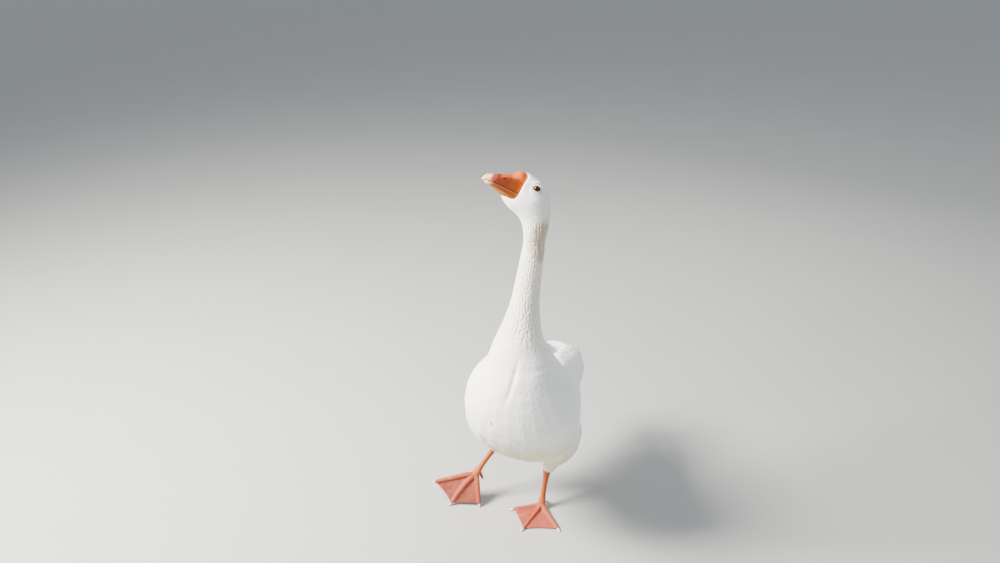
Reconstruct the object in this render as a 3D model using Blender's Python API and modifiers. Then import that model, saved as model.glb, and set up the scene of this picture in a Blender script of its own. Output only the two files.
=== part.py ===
"""A domestic goose, life size, standing in mid-step with its head cocked to its right.

Metres, +Z up, the goose faces -Y and its own left is +X. The floor is Z = 0.
Every node reaches to the tips of the feathers, and neighbours stand a hair's breadth apart.
"""

import math

import bmesh
import bpy
import numpy as np
from mathutils import Matrix, Vector

# ---------------------------------------------------------------- driving dimensions
GAP = 0.0003  # between neighbouring nodes
RING = 24  # points round the trunk, the neck and the head
FLOOR = 0.0

BODY_ROLL = math.radians(8.0)  # left side down, over the leg that bears the weight
ROLL_AXIS = (0.004, 0.32)  # (x, z) of the line the trunk rolls about
BODY_X = 0.006  # the trunk's middle plane

# Sections of the trunk, tail end first: (belly point, back point) as (forward, up) in the
# middle plane, half width, fullness of the lower half against the upper, share of the roll.
TRUNK = [
    ((-0.222, 0.274), (-0.216, 0.308), 0.036, 0.05, 1.0),
    ((-0.180, 0.230), (-0.182, 0.336), 0.070, 0.08, 1.0),
    ((-0.126, 0.203), (-0.134, 0.361), 0.095, 0.10, 1.0),
    ((-0.064, 0.192), (-0.086, 0.382), 0.109, 0.10, 1.0),
    ((0.000, 0.190), (-0.048, 0.398), 0.118, 0.08, 1.0),
    ((0.058, 0.200), (-0.020, 0.410), 0.124, 0.07, 1.0),
    ((0.106, 0.226), (0.000, 0.422), 0.1260, 0.06, 1.0),
    ((0.142, 0.266), (0.012, 0.434), 0.1215, 0.04, 0.9),
    ((0.165, 0.316), (0.020, 0.446), 0.1200, 0.00, 0.75),
    ((0.173, 0.370), (0.025, 0.459), 0.1010, -0.04, 0.55),
    ((0.168, 0.424), (0.028, 0.474), 0.0785, -0.04, 0.35),
    ((0.151, 0.470), (0.030, 0.489), 0.0660, 0.00, 0.15),
]
# The neck above it: (x, forward, up) of the middle, radius across, radius fore and aft,
# and how far the section leans back from level, in degrees.
NECK = [
    ((0.0040, 0.0790, 0.5105), 0.0500, 0.0500, 5.0),
    ((0.0051, 0.0660, 0.5408), 0.0395, 0.0400, 10.0),
    ((0.0077, 0.0530, 0.5808), 0.0305, 0.0315, 14.0),
    ((0.0100, 0.0415, 0.6208), 0.0266, 0.0270, 14.0),
    ((0.0137, 0.0310, 0.6633), 0.0246, 0.0245, 12.0),
    ((0.0166, 0.0225, 0.7034), 0.0232, 0.0233, 9.0),
    ((0.0176, 0.0195, 0.7219), 0.0215, 0.0215, 2.0),
]

HEAD_TURN = math.radians(72.0)  # to its right
HEAD_ROLL = math.radians(14.0)  # left cheek up
HEAD_AT = (0.0176, -0.0195, 0.7219)  # the top of the neck
# Sections of the head, neck end first, as (throat point, crown point) in (forward, up) from
# HEAD_AT in the head's own middle plane, half width.
HEAD = [
    ((0.0255, -0.0120), (-0.0246, -0.0100), 0.0243),
    ((0.0266, 0.0090), (-0.0292, 0.0260), 0.0243),
    ((0.0292, 0.0196), (-0.0308, 0.0510), 0.0252),
    ((0.0345, 0.0294), (-0.0263, 0.0764), 0.0268),
    ((0.0433, 0.0382), (-0.0125, 0.0970), 0.0270),
    ((0.0541, 0.0470), (0.0031, 0.1094), 0.0250),
    ((0.0639, 0.0600), (0.0172, 0.1190), 0.0205),
    ((0.0715, 0.0715), (0.0306, 0.1160), 0.0130),
]
EYE_AT = (-0.0018, 0.0864)  # (forward, up) in the head's middle plane
EYE_SIDE = 0.0195  # from that plane to the middle of the eyeball
EYE_RADIUS = 0.0080

BILL_AT = (0.0355, 0.0768)  # the corner of the mouth
BILL_RAISE = math.radians(24.7)  # the line of the mouth above level
# The upper bill: distance along the mouth from its corner, height above it, half width.
UPPER_BILL = [
    (-0.012, 0.0350, 0.0150),
    (0.000, 0.0350, 0.0172),
    (0.012, 0.0330, 0.0168),
    (0.024, 0.0298, 0.0152),
    (0.038, 0.0238, 0.0136),
    (0.052, 0.0182, 0.0128),
    (0.064, 0.0118, 0.0114),
    (0.070, 0.0092, 0.0090),
    (0.0740, 0.0055, 0.0055),
]
# The lower bill: distance along the mouth, depth below it, half width.
LOWER_BILL = [
    (-0.012, 0.0115, 0.0136),
    (0.000, 0.0130, 0.0156),
    (0.012, 0.0172, 0.0151),
    (0.024, 0.0176, 0.0137),
    (0.038, 0.0142, 0.0122),
    (0.052, 0.0106, 0.0114),
    (0.064, 0.0092, 0.0098),
    (0.0690, 0.0080, 0.0078),
    (0.0722, 0.0056, 0.0050),
]
# The nail over the tip: distance along, height of its top and of its base, half width.
NAIL = [
    (0.0570, 0.0142, 0.0040, 0.0030),
    (0.0620, 0.0134, 0.0030, 0.0062),
    (0.0680, 0.0112, 0.0005, 0.0080),
    (0.0725, 0.0080, -0.0030, 0.0078),
    (0.0752, 0.0036, -0.0050, 0.0060),
    (0.0764, -0.0008, -0.0054, 0.0028),
]
FACE_EDGE, FACE_LEAN = 0.0, -0.005  # where the feathers of the face end
FACE_LOW, FACE_TALL = -0.0145, 0.0555  # the feathers reach further over the knob's top
KNOB_AT = (0.0306, 0.1006)  # (forward, up) in the head's middle plane
KNOB_RADII = (0.0188, 0.0145, 0.0202)

# Feet, as (x, y, z). Toe lengths from the root of the toes to the tip of the claw.
TOES = {"inner": 0.080, "middle": 0.099, "outer": 0.094}
CLAW = 0.011
TOE_RADII = (0.0070, 0.0058, 0.0044)
LEFT_HOCK, LEFT_ROOT = (0.0420, 0.0470, 0.1020), (0.0370, 0.0175, 0.0130)
LEFT_TOES = {"inner": 64.0, "middle": 14.0, "outer": -42.0}  # degrees towards its right
LEFT_HALLUX = (0.0330, 0.0470, 0.0)
RIGHT_HOCK, RIGHT_ROOT = (-0.0840, 0.0480, 0.1400), (-0.1268, 0.0095, 0.0700)
RIGHT_TIPS = {
    "inner": (-0.1050, -0.0300, 0.0),
    "middle": (-0.1790, -0.0480, 0.0),
    "outer": (-0.2290, -0.0350, 0.0470),
}
RIGHT_HALLUX = (-0.1120, 0.0210, 0.0400)

# Sections of a folded wing, shoulder first: forward, lower edge (out, up), upper edge
# (out, up), how far it bulges from the line between them.
WING = [
    (0.112, (0.098, 0.346), (0.090, 0.376), 0.004),
    (0.092, (0.104, 0.316), (0.074, 0.400), 0.022),
    (0.050, (0.106, 0.288), (0.050, 0.412), 0.034),
    (0.005, (0.107, 0.272), (0.038, 0.408), 0.034),
    (-0.045, (0.100, 0.266), (0.030, 0.398), 0.031),
    (-0.095, (0.093, 0.272), (0.024, 0.384), 0.026),
    (-0.140, (0.086, 0.284), (0.022, 0.372), 0.021),
    (-0.185, (0.087, 0.302), (0.024, 0.365), 0.019),
    (-0.224, (0.083, 0.314), (0.038, 0.353), 0.009),
]
# The bundle of flight feathers past it: forward, (out, up) of the middle, half height,
# half thickness.
PRIMARIES = [
    (-0.140, (0.066, 0.314), 0.026, 0.0100),
    (-0.190, (0.064, 0.316), 0.025, 0.0085),
    (-0.232, (0.054, 0.313), 0.021, 0.0065),
    (-0.266, (0.042, 0.309), 0.015, 0.0045),
    (-0.284, (0.034, 0.307), 0.007, 0.0022),
]

TAIL_FROM = (0.160, 0.286)  # (back, up) of its root
TAIL_LONG = 0.138  # the middle feather
TAIL_SPREAD = math.radians(26.0)  # from the middle feather to the outermost
TAIL_LIFT, TAIL_ARCH = math.radians(6.0), 0.014
TAIL_FEATHERS, TAIL_THICK = 9, 0.0045

# Feathered thighs: (x, y, z) of the middle, half width across, half depth fore and aft.
THIGHS = {
    "left": [
        ((0.078, 0.012, 0.240), 0.048, 0.075),
        ((0.074, 0.022, 0.195), 0.046, 0.064),
        ((0.065, 0.034, 0.155), 0.036, 0.045),
        ((0.053, 0.043, 0.121), 0.021, 0.025),
        ((0.047, 0.046, 0.095), 0.0135, 0.0155),
    ],
    "right": [
        ((-0.066, 0.012, 0.260), 0.044, 0.070),
        ((-0.072, 0.024, 0.220), 0.038, 0.054),
        ((-0.079, 0.036, 0.185), 0.026, 0.036),
        ((-0.084, 0.045, 0.157), 0.018, 0.022),
        ((-0.085, 0.049, 0.138), 0.0130, 0.0150),
    ],
}
# A shank: part of the way from hock to toes, half width, half depth.
SHANK = [
    (-0.16, 0.0078, 0.0092),
    (-0.06, 0.0104, 0.0118),
    (0.08, 0.0108, 0.0122),
    (0.20, 0.0084, 0.0104),
    (0.36, 0.0062, 0.0086),
    (0.70, 0.0058, 0.0076),
    (0.92, 0.0092, 0.0084),
    (1.06, 0.0106, 0.0076),
]
WEB_THICK, WEB_HOLLOW = 0.0018, 0.04  # the hollow of its free edge, as a share of its length
# Heights added along a toe, from its root to the tip of its claw.
FLAT_ARCH = dict.fromkeys(TOES, (-0.0040, -0.0052, -0.0029, -0.0002, 0.0003, -0.0007))
RAISED_ARCH = {
    "inner": (-0.002, 0.004, 0.005, 0.001, -0.002, 0.0003),
    "middle": (-0.002, 0.005, 0.006, 0.002, -0.002, 0.0003),
    "outer": (-0.003, 0.001, 0.001, 0.001, 0.001, 0.0),
}

# ---------------------------------------------------------------- scene set-up
for old in list(bpy.data.objects):
    bpy.data.objects.remove(old, do_unlink=True)

GOOSE = bpy.data.collections.new("goose")
bpy.context.scene.collection.children.link(GOOSE)
HELPERS = bpy.data.collections.new("helpers")
HELPERS.hide_render = True
bpy.context.scene.collection.children.link(HELPERS)


def material(name, colour, roughness):
    made = bpy.data.materials.new(name)
    made.use_nodes = True
    shader = made.node_tree.nodes["Principled BSDF"]
    shader.inputs["Base Color"].default_value = (*colour, 1.0)
    shader.inputs["Roughness"].default_value = roughness
    return made


PLUMAGE = ((0.86, 0.84, 0.78), 0.85)
ORANGE = ((0.85, 0.28, 0.04), 0.45)
CORAL = ((0.80, 0.25, 0.12), 0.55)
WEB = ((0.78, 0.33, 0.24), 0.55)
HORN = ((0.80, 0.66, 0.52), 0.40)
EYE = ((0.03, 0.015, 0.01), 0.05)


# ---------------------------------------------------------------- shared builders
def put(name, mesh, look):
    """A node with its own material."""
    obj = bpy.data.objects.new(name, mesh)
    GOOSE.objects.link(obj)
    mesh.materials.clear()
    mesh.materials.append(material(name, *look))
    return obj


def helper(obj):
    """Moves an object among the helpers, which are never drawn."""
    for owner in list(obj.users_collection):
        owner.objects.unlink(obj)
    HELPERS.objects.link(obj)
    obj.hide_render = True
    obj.display_type = "WIRE"
    return obj


def mesh_of(points, faces, name="mesh"):
    mesh = bpy.data.meshes.new(name)
    mesh.from_pydata([tuple(map(float, p)) for p in points], [], faces)
    work = bmesh.new()
    work.from_mesh(mesh)
    bmesh.ops.recalc_face_normals(work, faces=work.faces)
    bmesh.ops.triangulate(work, faces=work.faces)
    work.to_mesh(mesh)
    work.free()
    return mesh


def loft(rings):
    """A closed skin through rings of equal count, each end shut by a fan."""
    rings = [np.asarray(r) for r in rings]
    count = len(rings[0])
    points = list(np.concatenate(rings))
    faces = [
        (i * count + j, i * count + (j + 1) % count,
         (i + 1) * count + (j + 1) % count, (i + 1) * count + j)
        for i in range(len(rings) - 1)
        for j in range(count)
    ]
    for start in (0, (len(rings) - 1) * count):
        points.append(np.mean(points[start:start + count], axis=0))
        last = len(points) - 1
        faces += [(start + j, start + (j + 1) % count, last) for j in range(count)]
    return mesh_of(points, faces)


def through(rows, samples):
    """A smooth curve through the rows of a table, sampled evenly from first to last."""
    rows = np.asarray(rows, float)
    ends = np.vstack([2 * rows[0] - rows[1], rows, 2 * rows[-1] - rows[-2]])
    out = []
    for t in np.linspace(0, len(rows) - 1, samples):
        i = min(int(t), len(rows) - 2)
        f = t - i
        a, b, c, d = ends[i:i + 4]
        out.append(
            b + 0.5 * f * (c - a + f * (2 * a - 5 * b + 4 * c - d + f * (3 * (b - c) + d - a)))
        )
    return np.array(out)


def section(low, high, side, fuller=0.0, power=2.0, count=RING):
    """A ring from the point low to the point high, widened by the vector side."""
    low, high, side = map(np.asarray, (low, high, side))
    middle, reach = (low + high) / 2, (high - low) / 2
    angles = np.arange(count) * 2 * math.pi / count
    up = np.sign(np.cos(angles)) * np.abs(np.cos(angles)) ** (2 / power)
    out = np.sign(np.sin(angles)) * np.abs(np.sin(angles)) ** (2 / power)
    return middle + np.outer(up, reach) + np.outer(out * (1 - fuller * up), side)


def arch(base, top, side, power=2.3, count=16):
    """A ring flat along its base and arched over to the point top."""
    base, top, side = map(np.asarray, (base, top, side))
    angles = (np.arange(count) / (count - 1) - 0.5) * math.pi
    up = np.abs(np.cos(angles)) ** (2 / power)
    out = np.sign(np.sin(angles)) * np.abs(np.sin(angles)) ** (2 / power)
    return base + np.outer(up, top - base) + np.outer(out, side)


def grown(ring, by):
    """The ring pushed outwards from its middle by a fixed amount."""
    middle = ring.mean(axis=0)
    away = ring - middle
    return middle + away * (1 + by / np.linalg.norm(away, axis=1, keepdims=True))


def shifted(ring, towards, by):
    """The ring moved along its own normal, towards the middle of another ring."""
    quarter = len(ring) // 4
    normal = np.cross(ring[0] - ring[2 * quarter], ring[quarter] - ring[-quarter])
    normal /= np.linalg.norm(normal)
    if np.dot(normal, towards.mean(axis=0) - ring.mean(axis=0)) < 0:
        normal = -normal
    return ring + normal * by


def boolean(obj, cutters, operation="DIFFERENCE"):
    """Cuts helpers out of a node, one after another."""
    for cutter in cutters:
        change = obj.modifiers.new("cut", "BOOLEAN")
        change.operation = operation
        change.solver = "EXACT"
        change.object = cutter
    return obj


def cutter(rings):
    obj = bpy.data.objects.new("cutter", loft(rings))
    HELPERS.objects.link(obj)
    return helper(obj)


def larger(rings, by=GAP):
    """A cutter standing clear of a loft all round."""
    rings = [grown(np.asarray(r), by) for r in rings]
    rings[0] = shifted(rings[0], rings[1], -by)
    rings[-1] = shifted(rings[-1], rings[-2], -by)
    return cutter(rings)


def rod_mesh(points, radii, sides=10):
    """A round limb through the points: a bevelled curve, turned into a mesh."""
    data = bpy.data.curves.new("rod", "CURVE")
    data.dimensions = "3D"
    data.bevel_depth = 1.0
    data.bevel_resolution = max(0, sides // 4 - 1)
    data.use_fill_caps = True
    data.resolution_u = 4
    line = data.splines.new("NURBS")
    line.points.add(len(points) - 1)
    for knot, at, radius in zip(line.points, points, radii):
        knot.co = (*map(float, at), 1.0)
        knot.radius = radius
    line.order_u = min(3, len(points))
    line.use_endpoint_u = True
    line.resolution_u = 2
    obj = helper(bpy.data.objects.new("rod", data))
    bpy.context.view_layer.update()
    graph = bpy.context.evaluated_depsgraph_get()
    mesh = bpy.data.meshes.new_from_object(obj.evaluated_get(graph))
    bpy.data.objects.remove(obj, do_unlink=True)
    work = bmesh.new()
    work.from_mesh(mesh)
    bmesh.ops.remove_doubles(work, verts=work.verts, dist=1e-6)
    bmesh.ops.recalc_face_normals(work, faces=work.faces)
    work.to_mesh(mesh)
    work.free()
    return mesh


def rod(name, points, radii, look, sides=10):
    return put(name, rod_mesh(points, radii, sides), look)


def rod_cutter(points, radii, by=GAP, sides=10):
    """A cutter standing clear of a rod all round, its ends pushed out too."""
    points = [np.asarray(p, float) for p in points]
    start, end = points[0] - points[1], points[-1] - points[-2]
    points[0] = points[0] + start / np.linalg.norm(start) * by
    points[-1] = points[-1] + end / np.linalg.norm(end) * by
    obj = bpy.data.objects.new("cutter", rod_mesh(points, [r + by for r in radii], sides))
    HELPERS.objects.link(obj)
    return helper(obj)


def ball_mesh(radii, at, axes, around=12, rings=8):
    """An ellipsoid at a point, its axes those of a rotation matrix."""
    work = bmesh.new()
    bmesh.ops.create_uvsphere(work, u_segments=around, v_segments=rings, radius=1.0)
    place = Matrix.Translation(Vector(at)) @ axes.to_4x4() @ Matrix.Diagonal((*radii, 1.0))
    bmesh.ops.transform(work, matrix=place, verts=work.verts)
    mesh = bpy.data.meshes.new("ball")
    work.to_mesh(mesh)
    work.free()
    return mesh


def ball_cutter(radii, at, axes, around=12, rings=8):
    mesh = ball_mesh([r + GAP for r in radii], at, axes, around, rings)
    obj = bpy.data.objects.new("cutter", mesh)
    HELPERS.objects.link(obj)
    return helper(obj)


def floor_cutter():
    """Everything under the floor, to leave flats on the soles."""
    mesh = bpy.data.meshes.new("floor")
    work = bmesh.new()
    bmesh.ops.create_cube(work, size=1.0)
    bmesh.ops.scale(work, vec=(1.2, 1.2, 0.1), verts=work.verts)
    bmesh.ops.translate(work, vec=(0.0, 0.0, FLOOR - 0.05), verts=work.verts)
    work.to_mesh(mesh)
    work.free()
    obj = bpy.data.objects.new("cutter", mesh)
    HELPERS.objects.link(obj)
    return helper(obj)


# ---------------------------------------------------------------- trunk and neck
def rolled(points, share=1.0):
    """The trunk's roll about its long line, fading out up the neck."""
    points = np.array(points, float)
    x0, z0 = ROLL_AXIS
    dx, dz = points[:, 0] - x0, points[:, 2] - z0
    c, s = math.cos(BODY_ROLL * share), math.sin(BODY_ROLL * share)
    points[:, 0], points[:, 2] = x0 + dx * c + dz * s, z0 - dx * s + dz * c
    return points


def trunk_rings(samples):
    table = through(
        [(*low, *high, width, fuller, share) for low, high, width, fuller, share in TRUNK],
        samples,
    )
    return [
        rolled(section((BODY_X, -a, b), (BODY_X, -c, d), (w, 0, 0), f, 2.2), share)
        for a, b, c, d, w, f, share in table
    ]


def neck_rings(samples):
    table = through([(*at, across, deep, lean) for at, across, deep, lean in NECK], samples)
    rings = []
    for x, forward, up, across, deep, lean in table:
        lean = math.radians(lean)
        reach = np.array((0.0, math.cos(lean), -math.sin(lean))) * deep
        middle = np.array((x, -forward, up))
        rings.append(section(middle - reach, middle + reach, (across, 0, 0)))
    return rings


trunk = trunk_rings(21)
neck = neck_rings(15)
put("trunk", loft(trunk), PLUMAGE)
for name, first, last in (("neck_lower", 0, 5), ("neck_middle", 5, 10), ("neck_upper", 10, 14)):
    rings = neck[first:last + 1]
    if first == 0:
        rings = [trunk[-1]] + rings
    rings = [shifted(rings[0], rings[1], GAP)] + rings[1:]
    put(name, loft(rings), PLUMAGE)

# ---------------------------------------------------------------- head
FORWARD = np.array((-math.sin(HEAD_TURN), -math.cos(HEAD_TURN), 0.0))
LEVEL_LEFT = np.array((math.cos(HEAD_TURN), -math.sin(HEAD_TURN), 0.0))
LEFT = LEVEL_LEFT * math.cos(HEAD_ROLL) + np.array((0, 0, math.sin(HEAD_ROLL)))
UP = np.array((0, 0, math.cos(HEAD_ROLL))) - LEVEL_LEFT * math.sin(HEAD_ROLL)


def in_head(forward, up, side=0.0):
    return np.array(HEAD_AT) + FORWARD * forward + UP * up + LEFT * side


def on_bill(along, above, side=0.0):
    """A point by its distance along the mouth from the corner and above it."""
    c, s = math.cos(BILL_RAISE), math.sin(BILL_RAISE)
    return in_head(BILL_AT[0] + along * c - above * s, BILL_AT[1] + along * s + above * c, side)


def head_rings(samples):
    table = through([(*low, *high, width) for low, high, width in HEAD], samples)
    return [
        section(in_head(a, b), in_head(c, d), LEFT * w, 0.10, 2.1) for a, b, c, d, w in table
    ]


def upper_bill(samples):
    return [
        arch(on_bill(u, GAP), on_bill(u, top), LEFT * w, 1.8)
        for u, top, w in through(UPPER_BILL, samples)
    ]


def lower_bill(samples):
    return [
        arch(on_bill(u, -GAP), on_bill(u, -low), LEFT * w, 2.2)
        for u, low, w in through(LOWER_BILL, samples)
    ]


def nail_rings(samples):
    return [
        arch(on_bill(u, base), on_bill(u, top), LEFT * w, 2.0, 10)
        for u, top, base, w in through(NAIL, samples)
    ]


def face_cutter():
    """Everything in front of the feathered edge of the face."""
    work = bmesh.new()
    bmesh.ops.create_cube(work, size=1.0)
    corners = {-0.5: 0.0, 0.5: 1.0}
    for vert in work.verts:
        u, side, w = (corners[round(c, 1)] for c in vert.co)
        lean = FACE_LEAN * (w - 0.25)
        vert.co = Vector(on_bill(FACE_EDGE + u * 0.1 + lean, FACE_LOW + w * FACE_TALL,
                                 (side - 0.5) * 0.1))
    bmesh.ops.recalc_face_normals(work, faces=work.faces)
    mesh = bpy.data.meshes.new("face")
    work.to_mesh(mesh)
    work.free()
    obj = bpy.data.objects.new("cutter", mesh)
    HELPERS.objects.link(obj)
    return helper(obj)


HEAD_AXES = Matrix([FORWARD, LEFT, UP]).transposed()
eyes = {
    side: in_head(*EYE_AT, EYE_SIDE * sign) for side, sign in (("left", 1.0), ("right", -1.0))
}
skull_rings = head_rings(13)
skull = put("head", loft(skull_rings), PLUMAGE)
boolean(bpy.data.objects["neck_upper"], [larger(skull_rings)])
upper, lower, nail = upper_bill(11), lower_bill(9), nail_rings(6)
knob_place = (KNOB_RADII, in_head(*KNOB_AT), HEAD_AXES, 14, 10)
knob_out = ball_cutter(*knob_place)
boolean(skull, [larger(upper), larger(lower), knob_out, face_cutter()]
        + [ball_cutter([EYE_RADIUS] * 3, at, HEAD_AXES) for at in eyes.values()])
boolean(put("bill_upper", loft(upper), ORANGE), [knob_out, larger(nail)])
boolean(put("bill_nail", loft(nail), HORN), [larger(lower)])
put("bill_lower", loft(lower), ORANGE)
put("bill_knob", ball_mesh(*knob_place), ORANGE)
for side, at in eyes.items():
    put("eye_" + side, ball_mesh([EYE_RADIUS] * 3, at, HEAD_AXES), EYE)

# ---------------------------------------------------------------- wings
SIDES = {"left": 1.0, "right": -1.0}


def wing_rings(sign, samples):
    rings = []
    table = through([(s, *low, *high, bulge) for s, low, high, bulge in WING], samples)
    for s, lx, lz, hx, hz, bulge in table:
        low = np.array((BODY_X + sign * lx, -s, lz))
        high = np.array((BODY_X + sign * hx, -s, hz))
        out = np.array((sign * (hz - lz), 0.0, lx - hx))
        out *= bulge / np.linalg.norm(out)
        rings.append(rolled(section(low, high, out, 0.0, 2.0, 16)))
    return rings


def primary_rings(sign, samples):
    rings = []
    table = through([(s, *at, tall, thick) for s, at, tall, thick in PRIMARIES], samples)
    for s, x, z, tall, thick in table:
        middle = np.array((BODY_X + sign * x, -s, z))
        lean = np.array((-sign * 0.75, 0.0, 0.66)) * tall
        out = np.array((sign * 0.66, 0.0, 0.75)) * thick
        rings.append(rolled(section(middle - lean, middle + lean, out, 0.0, 1.8, 12)))
    return rings


# ---------------------------------------------------------------- tail
def tail_point(across, along):
    """A point of the tail: across from -1 to 1, along from 0 at the root to 1 at the tips."""
    angle = across * TAIL_SPREAD
    notch = 1 - 0.07 * abs(math.sin(across * TAIL_FEATHERS * math.pi / 2 + math.pi / 2)) ** 0.6
    reach = TAIL_LONG * along * (1 - 0.16 * across * across) * (1 - (1 - notch) * along ** 3)
    root = 0.018 * across
    return (
        BODY_X + root + reach * math.sin(angle),
        TAIL_FROM[0] + reach * math.cos(angle) * math.cos(TAIL_LIFT),
        TAIL_FROM[1] + reach * math.sin(TAIL_LIFT) - TAIL_ARCH * across * across * along,
    )


def tail_mesh(grow=1.0):
    columns, rows = TAIL_FEATHERS * 2, 3
    grid = [
        tail_point(grow * (2 * i / columns - 1), grow * (j + 0.4) / (rows + 0.4))
        for j in range(rows + 1)
        for i in range(columns + 1)
    ]
    wide = columns + 1
    faces = [
        (j * wide + i, j * wide + i + 1, (j + 1) * wide + i + 1, (j + 1) * wide + i)
        for j in range(rows)
        for i in range(columns)
    ]
    return mesh_of(rolled(grid), faces)


def tail_plate(obj, thickness):
    thick = obj.modifiers.new("thick", "SOLIDIFY")
    thick.thickness, thick.offset = thickness, 0.0
    return obj


trunk_cutter = larger(trunk)
tail_cutter = bpy.data.objects.new("cutter", tail_mesh(1.02))
HELPERS.objects.link(tail_cutter)
tail_plate(helper(tail_cutter), TAIL_THICK + 2 * GAP)
boolean(tail_plate(put("tail", tail_mesh(), PLUMAGE), TAIL_THICK), [trunk_cutter])

for side, sign in SIDES.items():
    rings = wing_rings(sign, 12)
    boolean(put("wing_" + side, loft(rings), PLUMAGE), [trunk_cutter, tail_cutter])
    boolean(put("primaries_" + side, loft(primary_rings(sign, 8)), PLUMAGE),
            [trunk_cutter, larger(rings), tail_cutter])

# ---------------------------------------------------------------- legs
UNDER = floor_cutter()


def unit(vector):
    vector = np.asarray(vector, float)
    return vector / np.linalg.norm(vector)


def shank_rings(hock, root, facing, samples=9):
    hock, root = np.asarray(hock), np.asarray(root)
    along = unit(root - hock)
    across = unit(np.cross(along, facing))
    fore = unit(np.cross(across, along))
    return [
        section(hock + (root - hock) * t - fore * deep, hock + (root - hock) * t + fore * deep,
                across * wide, 0.0, 2.0, 10)
        for t, wide, deep in through(SHANK, samples)
    ]


def thigh_rings(side, samples=8):
    return [
        section((x, y - deep, z), (x, y + deep, z), (wide, 0, 0), 0.0, 2.0, 14)
        for x, y, z, wide, deep in through(
            [(*at, wide, deep) for at, wide, deep in THIGHS[side]], samples)
    ]


def toe_line(root, tip, arch):
    """Points from the root of a toe to the base of its claw, and on to the claw's tip."""
    root, tip = np.asarray(root, float), np.asarray(tip, float)
    long = np.linalg.norm(tip - root)
    nail = 1 - CLAW / long
    line = [root + (tip - root) * t for t in (0.05, 0.22, 0.5, 0.78, nail, 1.0)]
    for point, lift in zip(line, arch):
        point[2] += lift
    return line


def web_mesh(first, second):
    """The web between two toes, its free edge hollowed, as a plate of even thickness."""
    rows, columns = 4, 5
    grid = []
    for j in range(rows + 1):
        for i in range(columns + 1):
            v = i / columns
            u = (0.06 + 0.94 * j / rows) * (1 - WEB_HOLLOW * math.sin(math.pi * v) * (j / rows) ** 2)
            a, b = along_toe(first, u), along_toe(second, u)
            sag = np.array((0, 0, -0.0012 * math.sin(math.pi * v)))
            grid.append(a + (b - a) * v + sag)
    wide = columns + 1
    faces = [
        (j * wide + i, j * wide + i + 1, (j + 1) * wide + i + 1, (j + 1) * wide + i)
        for j in range(rows)
        for i in range(columns)
    ]
    return mesh_of(grid, faces)


def along_toe(line, u):
    """The point a part u of the way from the root to the base of the claw."""
    line = line[:5]
    steps = [0.0] + list(np.cumsum([np.linalg.norm(b - a) for a, b in zip(line, line[1:])]))
    return np.array([np.interp(u * steps[-1], steps, [p[k] for p in line]) for k in range(3)])


def build_leg(side, hock, root, tips, arch, hallux):
    facing = unit(np.asarray(tips["middle"]) - np.asarray(root))
    shank = shank_rings(hock, root, facing)
    put("shank_" + side, loft(shank), ORANGE)
    shank_out = larger(shank)
    boolean(put("thigh_" + side, loft(thigh_rings(side)), PLUMAGE), [trunk_cutter, shank_out])
    lines = {name: toe_line(root, tip, arch[name]) for name, tip in tips.items()}
    radii = [TOE_RADII[0], TOE_RADII[0] * 0.95, TOE_RADII[1], TOE_RADII[1] * 0.9, TOE_RADII[2]]
    toe_cutters = {name: rod_cutter(line[:5], radii) for name, line in lines.items()}
    for name, line in lines.items():
        toe = rod(f"toe_{name}_{side}", line[:5], radii, CORAL)
        boolean(toe, [shank_out])
        if name != "middle":
            boolean(toe, [toe_cutters["middle"]])
        boolean(toe, [UNDER])
        base = line[4] + unit(line[4] - line[3]) * GAP * 1.5
        hook = (base + line[5]) / 2 + np.array((0, 0, 0.0010))
        claw = rod(f"claw_{name}_{side}", [base, hook, line[5]],
                   [TOE_RADII[2] * 0.86, TOE_RADII[2] * 0.62, 0.0007], HORN, 8)
        boolean(claw, [toe_cutters[name], UNDER])
    for other in ("inner", "outer"):
        web = put(f"web_{other}_{side}", web_mesh(lines[other], lines["middle"]),
                  WEB)
        thick = web.modifiers.new("thick", "SOLIDIFY")
        thick.thickness, thick.offset = WEB_THICK, 0.0
        boolean(web, [shank_out, toe_cutters[other], toe_cutters["middle"]])
    build_hallux(side, hock, root, hallux, shank_out)


def build_hallux(side, hock, root, tip, shank_out):
    hock, root, tip = map(np.asarray, (hock, root, tip))
    start = root + (hock - root) * 0.10
    out = unit(tip - start)
    bend = start + (tip - start) * 0.55 + np.array((0, 0, 0.0030))
    end = start + (tip - start) * 0.74
    line, radii = [start, bend, end], [0.0050, 0.0047, 0.0034]
    boolean(rod("hallux_" + side, line, radii, CORAL), [shank_out, UNDER])
    base = end + unit(end - bend) * GAP * 1.5
    claw = rod("claw_hallux_" + side, [base, (base + tip) / 2, tip], [0.0027, 0.0019, 0.0006],
               HORN, 8)
    boolean(claw, [rod_cutter(line, radii), UNDER])


def planted(root, angles):
    """Tips of toes laid flat from the root, each turned from straight ahead to its right."""
    return {
        name: (root[0] - TOES[name] * math.sin(math.radians(turn)),
               root[1] - TOES[name] * math.cos(math.radians(turn)), 0.0015)
        for name, turn in angles.items()
    }


build_leg("left", LEFT_HOCK, LEFT_ROOT, planted(LEFT_ROOT, LEFT_TOES), FLAT_ARCH, LEFT_HALLUX)
build_leg("right", RIGHT_HOCK, RIGHT_ROOT, RIGHT_TIPS, RAISED_ARCH, RIGHT_HALLUX)


# ---------------------------------------------------------------- place on the shared frame
def bounds():
    bpy.context.view_layer.update()
    graph = bpy.context.evaluated_depsgraph_get()
    corners = []
    for obj in GOOSE.objects:
        made = obj.evaluated_get(graph)
        mesh = made.to_mesh()
        corners += [obj.matrix_world @ v.co for v in mesh.vertices]
        made.to_mesh_clear()
    corners = np.array([tuple(c) for c in corners])
    return corners.min(axis=0), corners.max(axis=0)


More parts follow.
